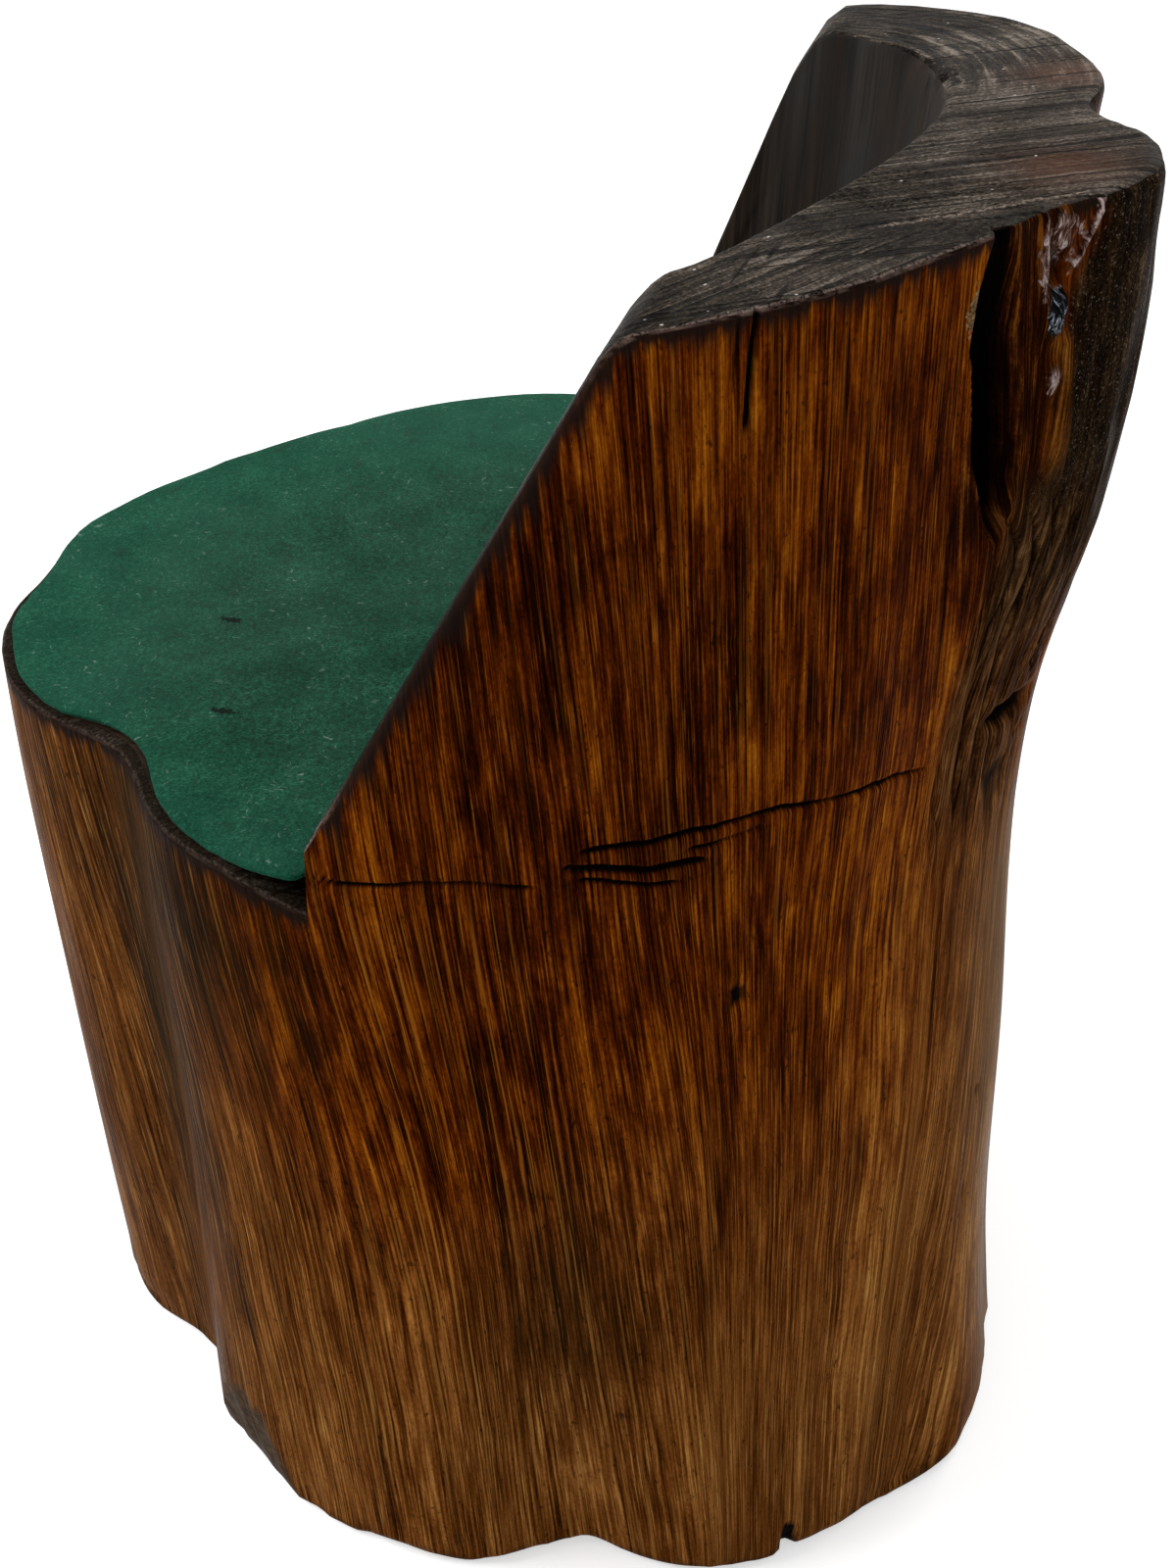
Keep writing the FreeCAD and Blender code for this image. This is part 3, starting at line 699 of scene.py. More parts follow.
torn[inner_index[:4]] = bell(turn_from(bearings[:BACK], 122), 9)
give_attribute(trunk, "torn", torn)
warm = bell(np.hypot(spot_x - 0.055, spot_y - 0.232), 0.016)
warm = warm + bell(np.hypot(spot_x + 0.085, spot_y - 0.228), 0.016)
give_attribute(trunk, "warm", warm * (spot_z > 0.6))

# how far each scar, stain, mark, painted shade and painted sheen reaches on the side: from 0 to 1
FULL_MARK, FULL_FISSURE, FULL_FACET = 0.0022, 0.011, 0.0015
cuts = np.maximum(kerf_depth(spot_b, spot_z), dent_depth(spot_b, spot_z))
wavy = wavy_share(spot_b, spot_z)
pale, bulb, rib, cavity = callus_parts(spot_b, spot_z)
inside_arch = 0.58 * bell(turn_from(spot_b, 66.3), 1.7) * bell(spot_z - 0.651, 0.0085)
red_wall = ramp(signed_b, 57, 59) * (1 - ramp(signed_b, 66, 68)) * ramp(spot_z, 0.50, 0.56)
facet_cut = faceted(spot_b, spot_z, np.zeros(len(points)))
short_of_back = 1 - ramp(signed_b, 92, 140)
golden = ramp(-spot_z, -0.36, -0.06)
golden = golden + 0.8 * ramp(signed_b, 50, 82) * ramp(-spot_z, -0.48, -0.30) * short_of_back
golden = golden + 0.9 * ramp(-signed_b, 6, 26) * ramp(signed_b, -120, -90)
golden = golden - 0.45 * bell(signed_b - 6, 7) * bell(spot_z - 0.33, 0.07)
give_attribute(trunk, "golden", np.clip(golden, 0, 1))
olive_and_valley_shade = patches([(19, 0.175, 6, 0.055, 0.7), (-13, 0.36, 9, 0.045, 0.7)], spot_b, spot_z)
# the bell along the flute's valley line is painted shade of that groove; the rest is the wood's
# own olive-brown tone
olive_and_valley_shade = olive_and_valley_shade + 0.6 * bell(signed_b - (-34 - 28 * (0.42 - spot_z)), 2.6)
olive_and_valley_shade = olive_and_valley_shade + 0.7 * bell(signed_b + 31, 8) * ramp(-spot_z, -0.45, -0.41)
olive_and_valley_shade = olive_and_valley_shade + 0.5 * ramp(-signed_b, 40, 60) * ramp(signed_b, -150, -120)
# painted sheen: a pale taupe shift standing for the varnish's grazing reflection low on the right
# edge and in a band beside the flute
painted_sheen = 1.05 * ramp(signed_b, 66, 80) * ramp(-spot_z, -0.46, -0.30) * short_of_back
flute_sheen_line = bell(signed_b - (-30.5 + 16 * (0.42 - spot_z)), 1.8)
painted_sheen = painted_sheen + 0.10 * flute_sheen_line * ramp(-spot_z, -0.415, -0.36)
fanned = bell(signed_b - 5, 14) * ramp(-spot_z, -0.43, -0.38) * ramp(spot_z, 0.02, 0.10)
give_attribute(trunk, "fanned", fanned)
shares = {
    "chip": chip_share(spot_b, spot_z),
    "mark": np.clip(np.maximum(cuts / FULL_MARK, 1.5 * gash_share(spot_b, spot_z)), 0, 1),
    "fissure": np.clip(fissure_depth(spot_b, spot_z) / FULL_FISSURE / under_crown(spot_z), 0, 1),
    "pitted": pitted_share(spot_b, spot_z),
    "furrow": np.clip(furrow_depth(spot_b, spot_z) / FURROW_DEPTH, -0.5, 1),
    "wavy": wavy,
    "crevice_shade": fold_line(spot_b, spot_z) * wavy,
    "callus": np.clip(np.maximum(1.5 * pale - 0.3, inside_arch), 0, 1),
    "bulb": np.clip(1.6 * bulb - 0.25, 0, 1),
    "rib": np.clip(1.3 * rib - 0.2, 0, 1),
    "cavity": np.clip(1.4 * cavity - 0.2, 0, 1),
    "red_wall": red_wall,
    "facet": np.clip(facet_cut / FULL_FACET, 0, 1) * (spot_z > 0.001),
    "olive_and_valley_shade": olive_and_valley_shade,
    "painted_sheen": np.clip(painted_sheen, 0, 1),
}
outside = np.arange(len(points)) < outer_index[OUTER_ROWS - TOP_ROWS - 2].min()
for name, share in shares.items():
    give_attribute(trunk, name, share * outside)

# Broad tones of the stain: bearing, height, their spreads, and how much
# lighter or darker the varnish is there
TONES = [
    (25, 0.615, 6, 0.022, 0.13), (34, 0.600, 6, 0.030, 0.02), (52, 0.630, 6, 0.030, 0.06),
    (42, 0.545, 6, 0.035, 0.04), (17, 0.520, 5, 0.060, -0.20), (33, 0.520, 5, 0.030, -0.07),
    (53, 0.500, 6, 0.060, -0.06), (56, 0.330, 7, 0.070, 0.12), (62, 0.200, 8, 0.080, 0.10),
    (60, 0.430, 5, 0.045, 0.15), (24, 0.440, 8, 0.030, -0.05), (17, 0.350, 4, 0.050, -0.07),
    (18, 0.165, 7, 0.040, -0.12), (7, 0.190, 5, 0.035, 0.06), (28, 0.300, 8, 0.050, 0.02),
    (-28, 0.380, 10, 0.060, -0.27), (-38, 0.250, 6, 0.120, -0.20), (70, 0.150, 8, 0.080, 0.08),
    (-26, 0.240, 6, 0.090, -0.17), (-14, 0.390, 9, 0.025, -0.12), (45, 0.100, 14, 0.060, 0.05),
    (-85, 0.250, 20, 0.150, -0.10),
]
give_attribute(trunk, "tone", patches(TONES, spot_b, spot_z))


# Its finish: dark stain and glossy varnish over coarse, streaky grain. What a
# finish is made with comes first, since the other finishes use it too.
class Wire:
    """A number or colour on its way through a finish. Each + - * / and abs()
    with a wire in it adds one Math node."""

    def __init__(self, socket):
        self.socket, self.tree = socket, socket.id_data

    def beside(self, output):
        """Another output of the same node."""
        return Wire(self.socket.node.outputs[output])

    def sum_of(self, kind, first, second):
        """One step of arithmetic on two wires or numbers."""
        return node(self.tree, "Math", {0: first, 1: second}, operation=kind)

    def __add__(self, other):
        return self.sum_of("ADD", self, other)

    def __radd__(self, other):
        return self.sum_of("ADD", other, self)

    def __sub__(self, other):
        return self.sum_of("SUBTRACT", self, other)

    def __rsub__(self, other):
        return self.sum_of("SUBTRACT", other, self)

    def __mul__(self, other):
        return self.sum_of("MULTIPLY", self, other)

    def __truediv__(self, other):
        return self.sum_of("DIVIDE", self, other)

    def __abs__(self):
        return self.sum_of("ABSOLUTE", self, 0)


def feed(socket, source):
    """Link a wire to an input, or set the input's own value."""
    if isinstance(source, Wire):
        socket.id_data.links.new(source.socket, socket)
    else:
        socket.default_value = source


def node(tree, kind, inputs=(), output=0, **settings):
    """One output of a new node with settings and inputs."""
    made = tree.nodes.new("ShaderNode" + kind)
    for key, value in settings.items():
        setattr(made, key, value)
    for name, source in dict(inputs).items():
        feed(made.inputs[name], source)
    return Wire(made.outputs[output])


def new_finish(name):
    """An empty material and its node tree."""
    material = bpy.data.materials.new(name)
    material.use_nodes = True
    return material, material.node_tree


def give_surface(tree, inputs):
    """Feed the inputs of a finish's surface shader."""
    for name, source in inputs.items():
        feed(tree.nodes["Principled BSDF"].inputs[name], source)


def held(wire):
    """The sum just made, held between 0 and 1."""
    wire.socket.node.use_clamp = True
    return wire


def from_to(value, start, end, low=0.0, high=1.0):
    """A wire spread from one range to another, and held within it."""
    ends = {"From Min": start, "From Max": end, "To Min": low, "To Max": high}
    return node(value.tree, "MapRange", {"Value": value, **ends}, clamp=True)


def colours(value, stops):
    """A blend of colours along a wire: place and colour of each stop."""
    made = node(value.tree, "ValToRGB", {0: value})
    elements = made.socket.node.color_ramp.elements
    for element, (place, colour) in zip(elements, (stops[0], stops[-1])):
        element.position, element.color = place, (*colour, 1)
    for place, colour in stops[1:-1]:
        elements.new(place).color = (*colour, 1)
    return made


def blend(share, below, above):
    """One colour laid over another by a share."""
    tree = next(wire.tree for wire in (share, below, above) if isinstance(wire, Wire))
    below, above = (c if isinstance(c, Wire) else (*c, 1) for c in (below, above))
    return node(tree, "Mix", {0: share, 6: below, 7: above}, 2, data_type="RGBA")


def stretched(place, sizes, detail=2.0, roughness=0.55, distortion=0.0):
    """Noise whose patches have a size along each axis, in metres."""
    scale = [1 / size for size in sizes]
    spread = node(place.tree, "VectorMath", {0: place, 1: scale}, operation="MULTIPLY")
    texture = {"Detail": detail, "Roughness": roughness, "Distortion": distortion}
    return node(place.tree, "TexNoise", {"Vector": spread, "Scale": 1.0, **texture})


def even(place, size, *texture):
    """Noise whose patches have the same size along each axis."""
    return stretched(place, (size, size, size), *texture)


def kept(tree, name, output="Fac"):
    """A number, or with the output Vector a place, kept on the piece's points."""
    return node(tree, "Attribute", output=output, attribute_name=name)


varnished, tree = new_finish("varnished_side")
grain = kept(tree, "grain", "Vector")


def streaky(across, along, *texture):
    """Noise drawn out along the grain: its patches' width and length."""
    return stretched(grain, (across, across, along), *texture)


golden = kept(tree, "golden")
field = streaky(0.026, 0.16, 3, 0.5)
mottle = streaky(0.008, 0.035, 3, 0.6, 0.6)
streaks = streaky(0.0046, 0.14, 3, 0.6, 0.2)
combed = streaky(0.0015, 0.11, 2, 0.6, 0.1)
bristle = streaky(0.0008, 0.035, 2, 0.6, 0.1)
speckle = streaky(0.001, 0.0024, 2, 0.6)
value = from_to(field, 0.28, 0.72, 0.39, 0.63) + kept(tree, "tone")
value = value + from_to(streaks, 0.3, 0.7, -0.09, 0.09)
value = value + from_to(mottle, 0.3, 0.7, -1, 1) * from_to(golden, 0, 1, 0.16, 0.05)
value = value + from_to(combed, 0.3, 0.7, -0.19, 0.19)
value = value + from_to(bristle, 0.3, 0.7, -0.18, 0.18)
value = value + from_to(speckle, 0.28, 0.72, -0.07, 0.07)
amber = colours(value, [
    (0.0, (0.003, 0.0006, 0.0001)), (0.25, (0.014, 0.0022, 0.0002)),
    (0.45, (0.053, 0.008, 0.0003)), (0.6, (0.121, 0.0218, 0.0011)), (0.78, (0.252, 0.063, 0.0024)),
    (1.0, (0.46, 0.165, 0.008)),
])
honey = colours(value, [
    (0.0, (0.006, 0.002, 0.0005)), (0.25, (0.032, 0.0085, 0.0012)), (0.45, (0.1, 0.029, 0.0036)),
    (0.6, (0.172, 0.0585, 0.011)), (0.78, (0.312, 0.128, 0.03)), (1.0, (0.5, 0.28, 0.07)),
])
wood = blend(golden, amber, honey)
# painted glints: pale honey flecks on the bristle ridges stand for the varnish catching the light
bristle_glint_patch = from_to(streaky(0.03, 0.08, 2), 0.38, 0.6, 0.12, 0.75)
bristle_glint = from_to(bristle, 0.61, 0.72) * bristle_glint_patch
wood = blend(bristle_glint, wood, blend(golden, (0.3, 0.105, 0.01), (0.42, 0.23, 0.07)))
lines = streaky(0.0012, 0.15, 1, 0.5)
line_patch = from_to(streaky(0.03, 0.25, 2), 0.4, 0.58, 0.25, 1)
line_share = 0.35 + kept(tree, "fanned") * 0.65
pale_line = from_to(lines, 0.6, 0.65) * (line_patch * line_share)
wood = blend(pale_line * 0.7, wood, blend(golden, (0.33, 0.12, 0.012), (0.42, 0.215, 0.052)))
dark_lines = streaky(0.0016, 0.13, 2, 0.6)
wood = blend(from_to(dark_lines, 0.32, 0.38, 0.55, 0), wood, (0.014, 0.0035, 0.0006))
specks = streaky(0.0026, 0.0055, 3, 0.7)
wood = blend(from_to(specks, 0.61, 0.7, 0, 0.75), wood, (0.006, 0.0016, 0.0005))
# olive-brown tone of the wood, and painted shade along the flute's valley
wood = blend(kept(tree, "olive_and_valley_shade"), wood, blend(0.45, wood, (0.02, 0.0125, 0.0035)))
# painted sheen: the varnish's grazing reflection on the right edge and beside the flute, laid in
# as a pale taupe
wood = blend(kept(tree, "painted_sheen") * 0.7, wood, blend(0.6, honey, (0.21, 0.135, 0.072)))

# darker stain along the rim, darker towards the foot, and painted shade in the marks, cracks and
# creases
foot_height = node(tree, "SeparateXYZ", {0: node(tree, "TexCoord", output="Object")}, "Z")
foot_noise = from_to(streaky(0.01, 0.01, 3), 0.3, 0.7, 0.002, 0.016)
dark_foot = held(1.0 - foot_height / foot_noise)
wood = blend(dark_foot * 0.85, wood, (0.01, 0.0062, 0.004))
rim_noise = streaky(0.005, 0.06, 3)
rim_reach = from_to(rim_noise, 0.3, 0.7, 0.003, 0.016)
near_rim = held(1.0 - kept(tree, "below_rim") / rim_reach)
wood = blend(from_to(near_rim, 0.0, 0.6, 0, 0.95), wood, (0.012, 0.0075, 0.006))
wood = blend(
    kept(tree, "red_wall") * 0.85, wood,
    colours(value, [
        (0.35, (0.0045, 0.0011, 0.0003)), (0.56, (0.026, 0.006, 0.0011)),
        (0.8, (0.2, 0.062, 0.008)),
    ])
)
pit_noise = streaky(0.001, 0.0016, 3, 0.75)
bark = streaky(0.0032, 0.03, 4, 0.65, 0.5)
pit_patches = streaky(0.012, 0.02, 3, 0.6)
furrow_value = pit_noise * 0.5 + bark * 0.5
furrow_value = furrow_value - kept(tree, "furrow") * 0.04
furrow_value = furrow_value + from_to(pit_patches, 0.35, 0.65, -0.04, 0.04)
scar = colours(furrow_value, [
    (0.4, (0.0032, 0.0015, 0.0005)), (0.49, (0.014, 0.0066, 0.002)),
    (0.57, (0.042, 0.0215, 0.0078)), (0.66, (0.16, 0.104, 0.056)),
])
grit_and_glint = streaky(0.0011, 0.0013, 2, 0.7)
scar = blend(from_to(grit_and_glint, 0.4, 0.3, 0, 0.8), scar, (0.003, 0.0014, 0.0008))
# painted glints: pale specks on the pitted scar stand for light caught in its glossy pits
scar = blend(from_to(grit_and_glint, 0.62, 0.7, 0, 0.8), scar, (0.23, 0.175, 0.13))
wood = blend(kept(tree, "pitted"), wood, scar)
swirl = streaky(0.0036, 0.026, 4, 0.65, 1.6)
fold = colours(value * 0.5 + swirl * 0.5, [
    (0.38, (0.005, 0.002, 0.0007)), (0.48, (0.025, 0.0098, 0.0027)),
    (0.58, (0.083, 0.0365, 0.012)), (0.7, (0.23, 0.112, 0.042)),
])
wood = blend(kept(tree, "wavy") * 0.8, wood, fold)
# painted shade: the crevices between the wavy folds painted near black
wood = blend(from_to(kept(tree, "crevice_shade"), 0.35, 0.9, 0, 0.95), wood, (0.004, 0.0025, 0.0016))
callus_noise = streaky(0.0018, 0.006, 3, 0.7, 0.6)
torn_edge = from_to(callus_noise, 0.3, 0.7, -0.22, 0.22)
callus_share = from_to(kept(tree, "callus") + torn_edge, 0.3, 0.46)
bulb_share = from_to(kept(tree, "bulb") + torn_edge, 0.3, 0.46)
callus_value = callus_noise + from_to(kept(tree, "callus"), 0.4, 1, -0.07, 0.1)
# the callus: dark and brown healed wood; its palest pink-white patches are painted highlights on
# the glossy ribs and curl
callus = colours(callus_value, [
    (0.36, (0.008, 0.0026, 0.0012)), (0.44, (0.045, 0.018, 0.0105)), (0.53, (0.19, 0.11, 0.088)),
    (0.64, (0.56, 0.45, 0.43)),
])
wood = blend(callus_share, wood, callus)
wood = blend(
    kept(tree, "rib"), wood,
    colours(value, [
        (0.35, (0.02, 0.005, 0.0008)), (0.6, (0.12, 0.036, 0.004)), (0.85, (0.33, 0.13, 0.02)),
    ])
)
# the bulb: dark healed wood, with a painted bluish reflection and painted white glints where the
# noise is high
bulb_glint_noise = streaky(0.0026, 0.0052, 2, 0.6, 1.2)
wood = blend(
    bulb_share, wood,
    colours(bulb_glint_noise, [
        (0.38, (0.003, 0.0029, 0.0033)), (0.49, (0.012, 0.0125, 0.0145)),
        (0.56, (0.075, 0.084, 0.096)), (0.64, (0.4, 0.44, 0.49)),
    ])
)
# painted shade: the torn cavity in the callus painted near black
wood = blend(kept(tree, "cavity"), wood, (0.003, 0.0012, 0.0008))
end_grain = streaky(0.004, 0.0018, 3, 0.6)
cut_face = colours(end_grain, [(0.38, (0.011, 0.0055, 0.002)), (0.64, (0.075, 0.04, 0.016))])
wood = blend(kept(tree, "facet"), wood, cut_face)
# painted shade: the kerfs, dents and gash, and after them the fissure, painted darker the deeper
# they are cut
wood = blend(from_to(kept(tree, "mark"), 0.25, 0.75), wood, (0.0035, 0.0022, 0.0015))
wood = blend(from_to(kept(tree, "fissure"), 0.2, 0.9), wood, (0.0012, 0.0007, 0.0005))
chip_noise = streaky(0.0022, 0.003, 3, 0.7)
chip_share_here = kept(tree, "chip") + from_to(chip_noise, 0.3, 0.7, -0.35, 0.35)
wood = blend(
    from_to(chip_share_here, 0.42, 0.52), wood,
    colours(chip_noise, [(0.4, (0.03, 0.014, 0.005)), (0.62, (0.3, 0.19, 0.09))])
)
# the pale rim line: partly wear, partly a painted highlight along the arris
worn_noise = from_to(streaky(0.011, 0.004, 3, 0.7), 0.42, 0.64, 0, 0.6)
wood = blend(kept(tree, "worn") * worn_noise, wood, (0.27, 0.18, 0.145))

# the varnish: even on the wood, thicker and smoother on the healed ribs
gloss = from_to(streaky(0.01, 0.06, 3), 0.35, 0.7, 0.24, 0.4)
gloss = gloss - kept(tree, "callus") * 0.1
relief = streaks * 0.7 + (bristle * 0.5 + combed)
grain_bump = node(tree, "Bump", {"Strength": 0.6, "Distance": 0.001, "Height": relief})
rough = pit_noise * kept(tree, "pitted") + callus_noise * kept(tree, "callus")
pit_bump = node(tree, "Bump", {
    "Strength": 0.9, "Distance": 0.0022, "Height": rough, "Normal": grain_bump,
})
give_surface(tree, {
    "Base Color": wood, "Roughness": gloss, "Specular IOR Level": 0.0018, "Normal": pit_bump,
})


# Its sawn faces: charcoal-brown end grain, scored by the saw, with growth
# rings on the far lobe, and along the outer edge a pale line, partly wear and partly painted
# highlight
def turned(place, degrees):
    """A place, with the axes turned about the upright."""
    rotation = (0, 0, math.radians(degrees))
    return node(place.tree, "Mapping", {"Vector": place, "Rotation": rotation})


sawn, tree = new_finish("sawn_top")
place = node(tree, "TexCoord", output="Object")
rings = kept(tree, "rings", "Vector")
saw_place = turned(place, -21.5)
across = node(tree, "SeparateXYZ", {0: place})
near_share = from_to(across, 0.115, 0.15)
far_share = from_to(across, -0.045, -0.09)
scores = stretched(saw_place, (0.0022, 0.11, 0.02), 4, 0.65, 0.1)
near_scores = stretched(turned(place, -55), (0.0024, 0.1, 0.02), 4, 0.65, 0.1)
arcs = stretched(rings, (0.003, 0.05, 1.0), 3, 0.65)
pores = even(place, 0.0016, 3, 0.75)
blotches = even(place, 0.045, 3, 0.6)
scored = scores + near_share * (near_scores - scores)
scored = scored + far_share * 0.85 * (from_to(arcs, 0.3, 0.7, 0.22, 0.78) - scored)
top_value = scored * 0.58 + pores * 0.42 + (blotches - 0.5) * 0.36
top_value = top_value + from_to(across, 0.06, -0.1, -0.006, 0.024)
char = colours(top_value, [
    (0.41, (0.003, 0.002, 0.0012)), (0.48, (0.0195, 0.0145, 0.01)),
    (0.56, (0.062, 0.0485, 0.0365)), (0.66, (0.22, 0.186, 0.154)),
])
char = blend(kept(tree, "warm") * 0.45, char, (0.12, 0.046, 0.022))
cuts = stretched(saw_place, (0.003, 0.16, 0.02), 1, 0.5)
char = blend(from_to(cuts, 0.62, 0.66, 0, 0.85), char, (0.0035, 0.0022, 0.0016))
crossed = stretched(turned(place, -84), (0.005, 0.05, 0.02), 1, 0.5)
crossed = from_to(crossed, 0.66, 0.7, 0, 0.8) * near_share
char = blend(crossed, char, (0.004, 0.0026, 0.002))
ridge_across = node(tree, "SeparateXYZ", {0: turned(place, -30)})
ridge_along = ridge_across.beside("Y")
ridge_wander = from_to(even(place, 0.012, 2), 0.3, 0.7, 0.1945, 0.1975)
ridge = from_to(abs(ridge_across - ridge_wander), 0.0006, 0.0016, 1, 0)
ridge = ridge * from_to(ridge_along, 0.08, 0.09) * from_to(ridge_along, 0.17, 0.178, 1, 0)
char = blend(ridge * from_to(pores, 0.44, 0.56, 0.1, 0.9), char, (0.24, 0.185, 0.15))
# painted glints: a few pale dots on the sawn top stand for light caught by the end grain
glint_cells = node(tree, "TexVoronoi", {"Vector": place, "Scale": 150.0}, "Distance")
painted_glints = from_to(glint_cells, 0.07, 0.11, 1, 0) * from_to(glint_cells.beside("Color"), 0.74, 0.75)
char = blend(painted_glints, char, (0.55, 0.52, 0.48))
bites = kept(tree, "torn") + from_to(even(place, 0.0045, 3, 0.7), 0.3, 0.7, -0.6, 0.6)
char = blend(from_to(bites, 0.75, 0.95, 0, 0.9), char, (0.004, 0.0026, 0.002))
# the seat's ledge round the felt and the overcut's floor: dark end grain, darkened further as
# painted shade beneath the felt's edge
ledge_and_shade = blend(from_to(pores, 0.45, 0.62), (0.0085, 0.0055, 0.0035), (0.021, 0.013, 0.008))
char = blend(from_to(across.beside("Z"), 0.425, 0.435, 0.85, 0), char, ledge_and_shade)
char = blend(kept(tree, "chamfer") * 0.85, char, (0.0075, 0.0055, 0.0045))
# the pale rim line on the sawn top: partly wear, partly a painted highlight along the arris
char = blend(kept(tree, "worn") * from_to(pores, 0.4, 0.58, 0, 0.8), char, (0.23, 0.165, 0.14))
cut_height = scored + pores * 0.4 - from_to(cuts, 0.6, 0.68, 0, 0.5)
saw_bump = node(tree, "Bump", {"Strength": 0.8, "Distance": 0.0012, "Height": cut_height})
give_surface(tree, {
    "Base Color": char, "Roughness": from_to(scored, 0.3, 0.7, 0.28, 0.48),
    "Specular IOR Level": 0.0065, "Normal": saw_bump,
})

# The carved hollow: dark stain over upright gouge marks
carved, tree = new_finish("carved_hollow")
place = node(tree, "TexCoord", output="Object")
strokes = stretched(place, (0.003, 0.003, 0.16), 3, 0.6)
wide_strokes = stretched(place, (0.034, 0.034, 0.2), 2)
value = strokes * 0.3 + wide_strokes * 0.8
dark = colours(value, [
    (0.32, (0.004, 0.0034, 0.003)), (0.5, (0.012, 0.0103, 0.009)), (0.64, (0.022, 0.0196, 0.0175)),
    (0.8, (0.046, 0.042, 0.038)),
])
brown_patch = from_to(stretched(place, (0.04, 0.04, 0.15), 3, 0.6), 0.46, 0.62, 0, 0.75)
brown = blend(from_to(strokes, 0.35, 0.68), (0.006, 0.0036, 0.0022), (0.034, 0.02, 0.012))
give_surface(tree, {
    "Base Color": blend(brown_patch, dark, brown),
    "Roughness": from_to(strokes, 0.3, 0.7, 0.34, 0.55), "Specular IOR Level": 0.03,
    "Normal": node(tree, "Bump", {"Strength": 0.6, "Distance": 0.0012, "Height": value}),
})

for finish in (varnished, sawn, carved):
    trunk.data.materials.append(finish)
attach(trunk, "root")
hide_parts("trunk")

# The glue: a thin film of brown glue, brushed on the sawn seat and dried there.
# The modelled film keeps its place and gets a brushed finish.
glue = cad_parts["glue_film"]
glue_finish, tree = new_finish("dried_glue_film")
place = node(tree, "TexCoord", output="Object")
brushed = stretched(place, (0.004, 0.03, 0.004), 3)
glue_colour = colours(brushed, [(0.35, (0.006, 0.004, 0.0025)), (0.7, (0.034, 0.021, 0.012))])
give_surface(tree, {
    "Base Color": glue_colour, "Roughness": from_to(brushed, 0.3, 0.7, 0.15, 0.4),
    "Specular IOR Level": 0.02,
    "Normal": node(tree, "Bump", {"Strength": 0.5, "Distance": 0.0004, "Height": brushed}),
})
glue.data.materials.clear()
glue.data.materials.append(glue_finish)

# The seat's cover: one sheet of green wool felt, 2.2 mm thick, cut by hand to
# the trunk's outline and to the foot of the back, and glued down flat.
FELT_UNDER, FELT_THICKNESS, FELT_CLEARANCE = 0.4183, 0.0022, 0.0005
INSET_BEARINGS = (178, 285, 298, 314, 322, 330, 340, 352, 355, 357)
INSETS = (0.0015, 0.0015, 0.0045, 0.005, 0.0095, 0.0085, 0.0045, 0.0035, 0.0045, 0.015)
FELT_RINGS = 60
cut_wander = 0.0012 * round_noise(bearings, 70, 51) + 0.0004 * round_noise(bearings, 300, 52)
inset = np.interp(bearings, INSET_BEARINGS, INSETS)
front_x, front_y = outline_point(SEAT_HEIGHT, bearings, inset + np.maximum(cut_wander, -0.001))
back_x, back_y = hollow_point(along, SEAT_HEIGHT)
gap = FELT_CLEARANCE + 0.0004 * (1 + round_noise(bearings, 90, 53))
keep = 1 - gap / 0.18
felt_x = np.where(in_back, back_x * keep, front_x)
felt_y = np.where(in_back, back_y * keep, front_y)
felt_y[-1] = min(felt_y[-1], NEAR_FOOT - FELT_CLEARANCE)
felt_y[0] = felt_y[-1]
felt_edge = raised(felt_x, felt_y, FELT_UNDER)
felt_middle = np.array([0, 0.02, FELT_UNDER])
felt_reach = felt_edge - felt_middle
lift = np.array([0, 0, FELT_THICKNESS])
edge_share = 0.0009 / np.hypot(felt_x, felt_y - felt_middle[1])[:, None]
under = [felt_middle + felt_reach * share for share in (0.3, 0.6, 0.9, 1 - edge_share / 2)]
cut_side = [felt_edge + lift * share for share in (0.22, 0.78)]
ring_shares = 1 - np.linspace(0, 1, FELT_RINGS + 1)[:-1, None, None] ** 0.9
over = felt_middle + felt_reach * (1 - edge_share) * ring_shares
uneven = 0.00022 * value_noise(over[..., 0] * 9000, over[..., 1] + 1, 720, 0.025, 54)
over = over + lift
over[..., 2] += uneven * np.clip(np.arange(FELT_RINGS) / 3, 0, 1)[:, None] - 0.0001
felt_rows = np.concatenate([under, cut_side, over])
felt_points = np.concatenate([felt_rows.reshape(-1, 3), [felt_middle], [felt_middle + lift]])
felt_index = np.arange(len(felt_rows) * COLUMNS).reshape(len(felt_rows), COLUMNS)
under_pole, over_pole = len(felt_points) - 2, len(felt_points) - 1
felt_faces = [
    (quads(felt_index, True), 0),
    (fan(under_pole, round_again(felt_index[0])[::-1]), 0),
    (fan(over_pole, round_again(felt_index[-1])), 0),
]
felt = new_piece("green_seat_felt", felt_points, felt_faces, 60)

# its finish: brushed nap, a little faded at the back, with pale lint caught
FELT_SPOTS = [((0.0648, -0.1205, 0), 1.62), ((0.1414, -0.0922, 0), 1.7)]
felt_finish, tree = new_finish("green_wool_felt")
place = node(tree, "TexCoord", output="Object")
nap_place = turned(place, -35)
nap = stretched(nap_place, (0.0009, 0.0014, 0.0012), 3, 0.75)
clumps = even(place, 0.003, 3, 0.65)
broad = even(place, 0.03, 3, 0.6)
fade = even(place, 0.12, 2)
felt_value = nap * 0.55 + clumps * 0.25 + broad * 0.2
green = colours(felt_value, [
    (0.37, (0.0008, 0.008, 0.0042)), (0.51, (0.006, 0.051, 0.026)), (0.64, (0.03, 0.142, 0.08)),
])
green = blend(from_to(fade, 0.4, 0.7, 0, 0.35), green, (0.026, 0.075, 0.052))
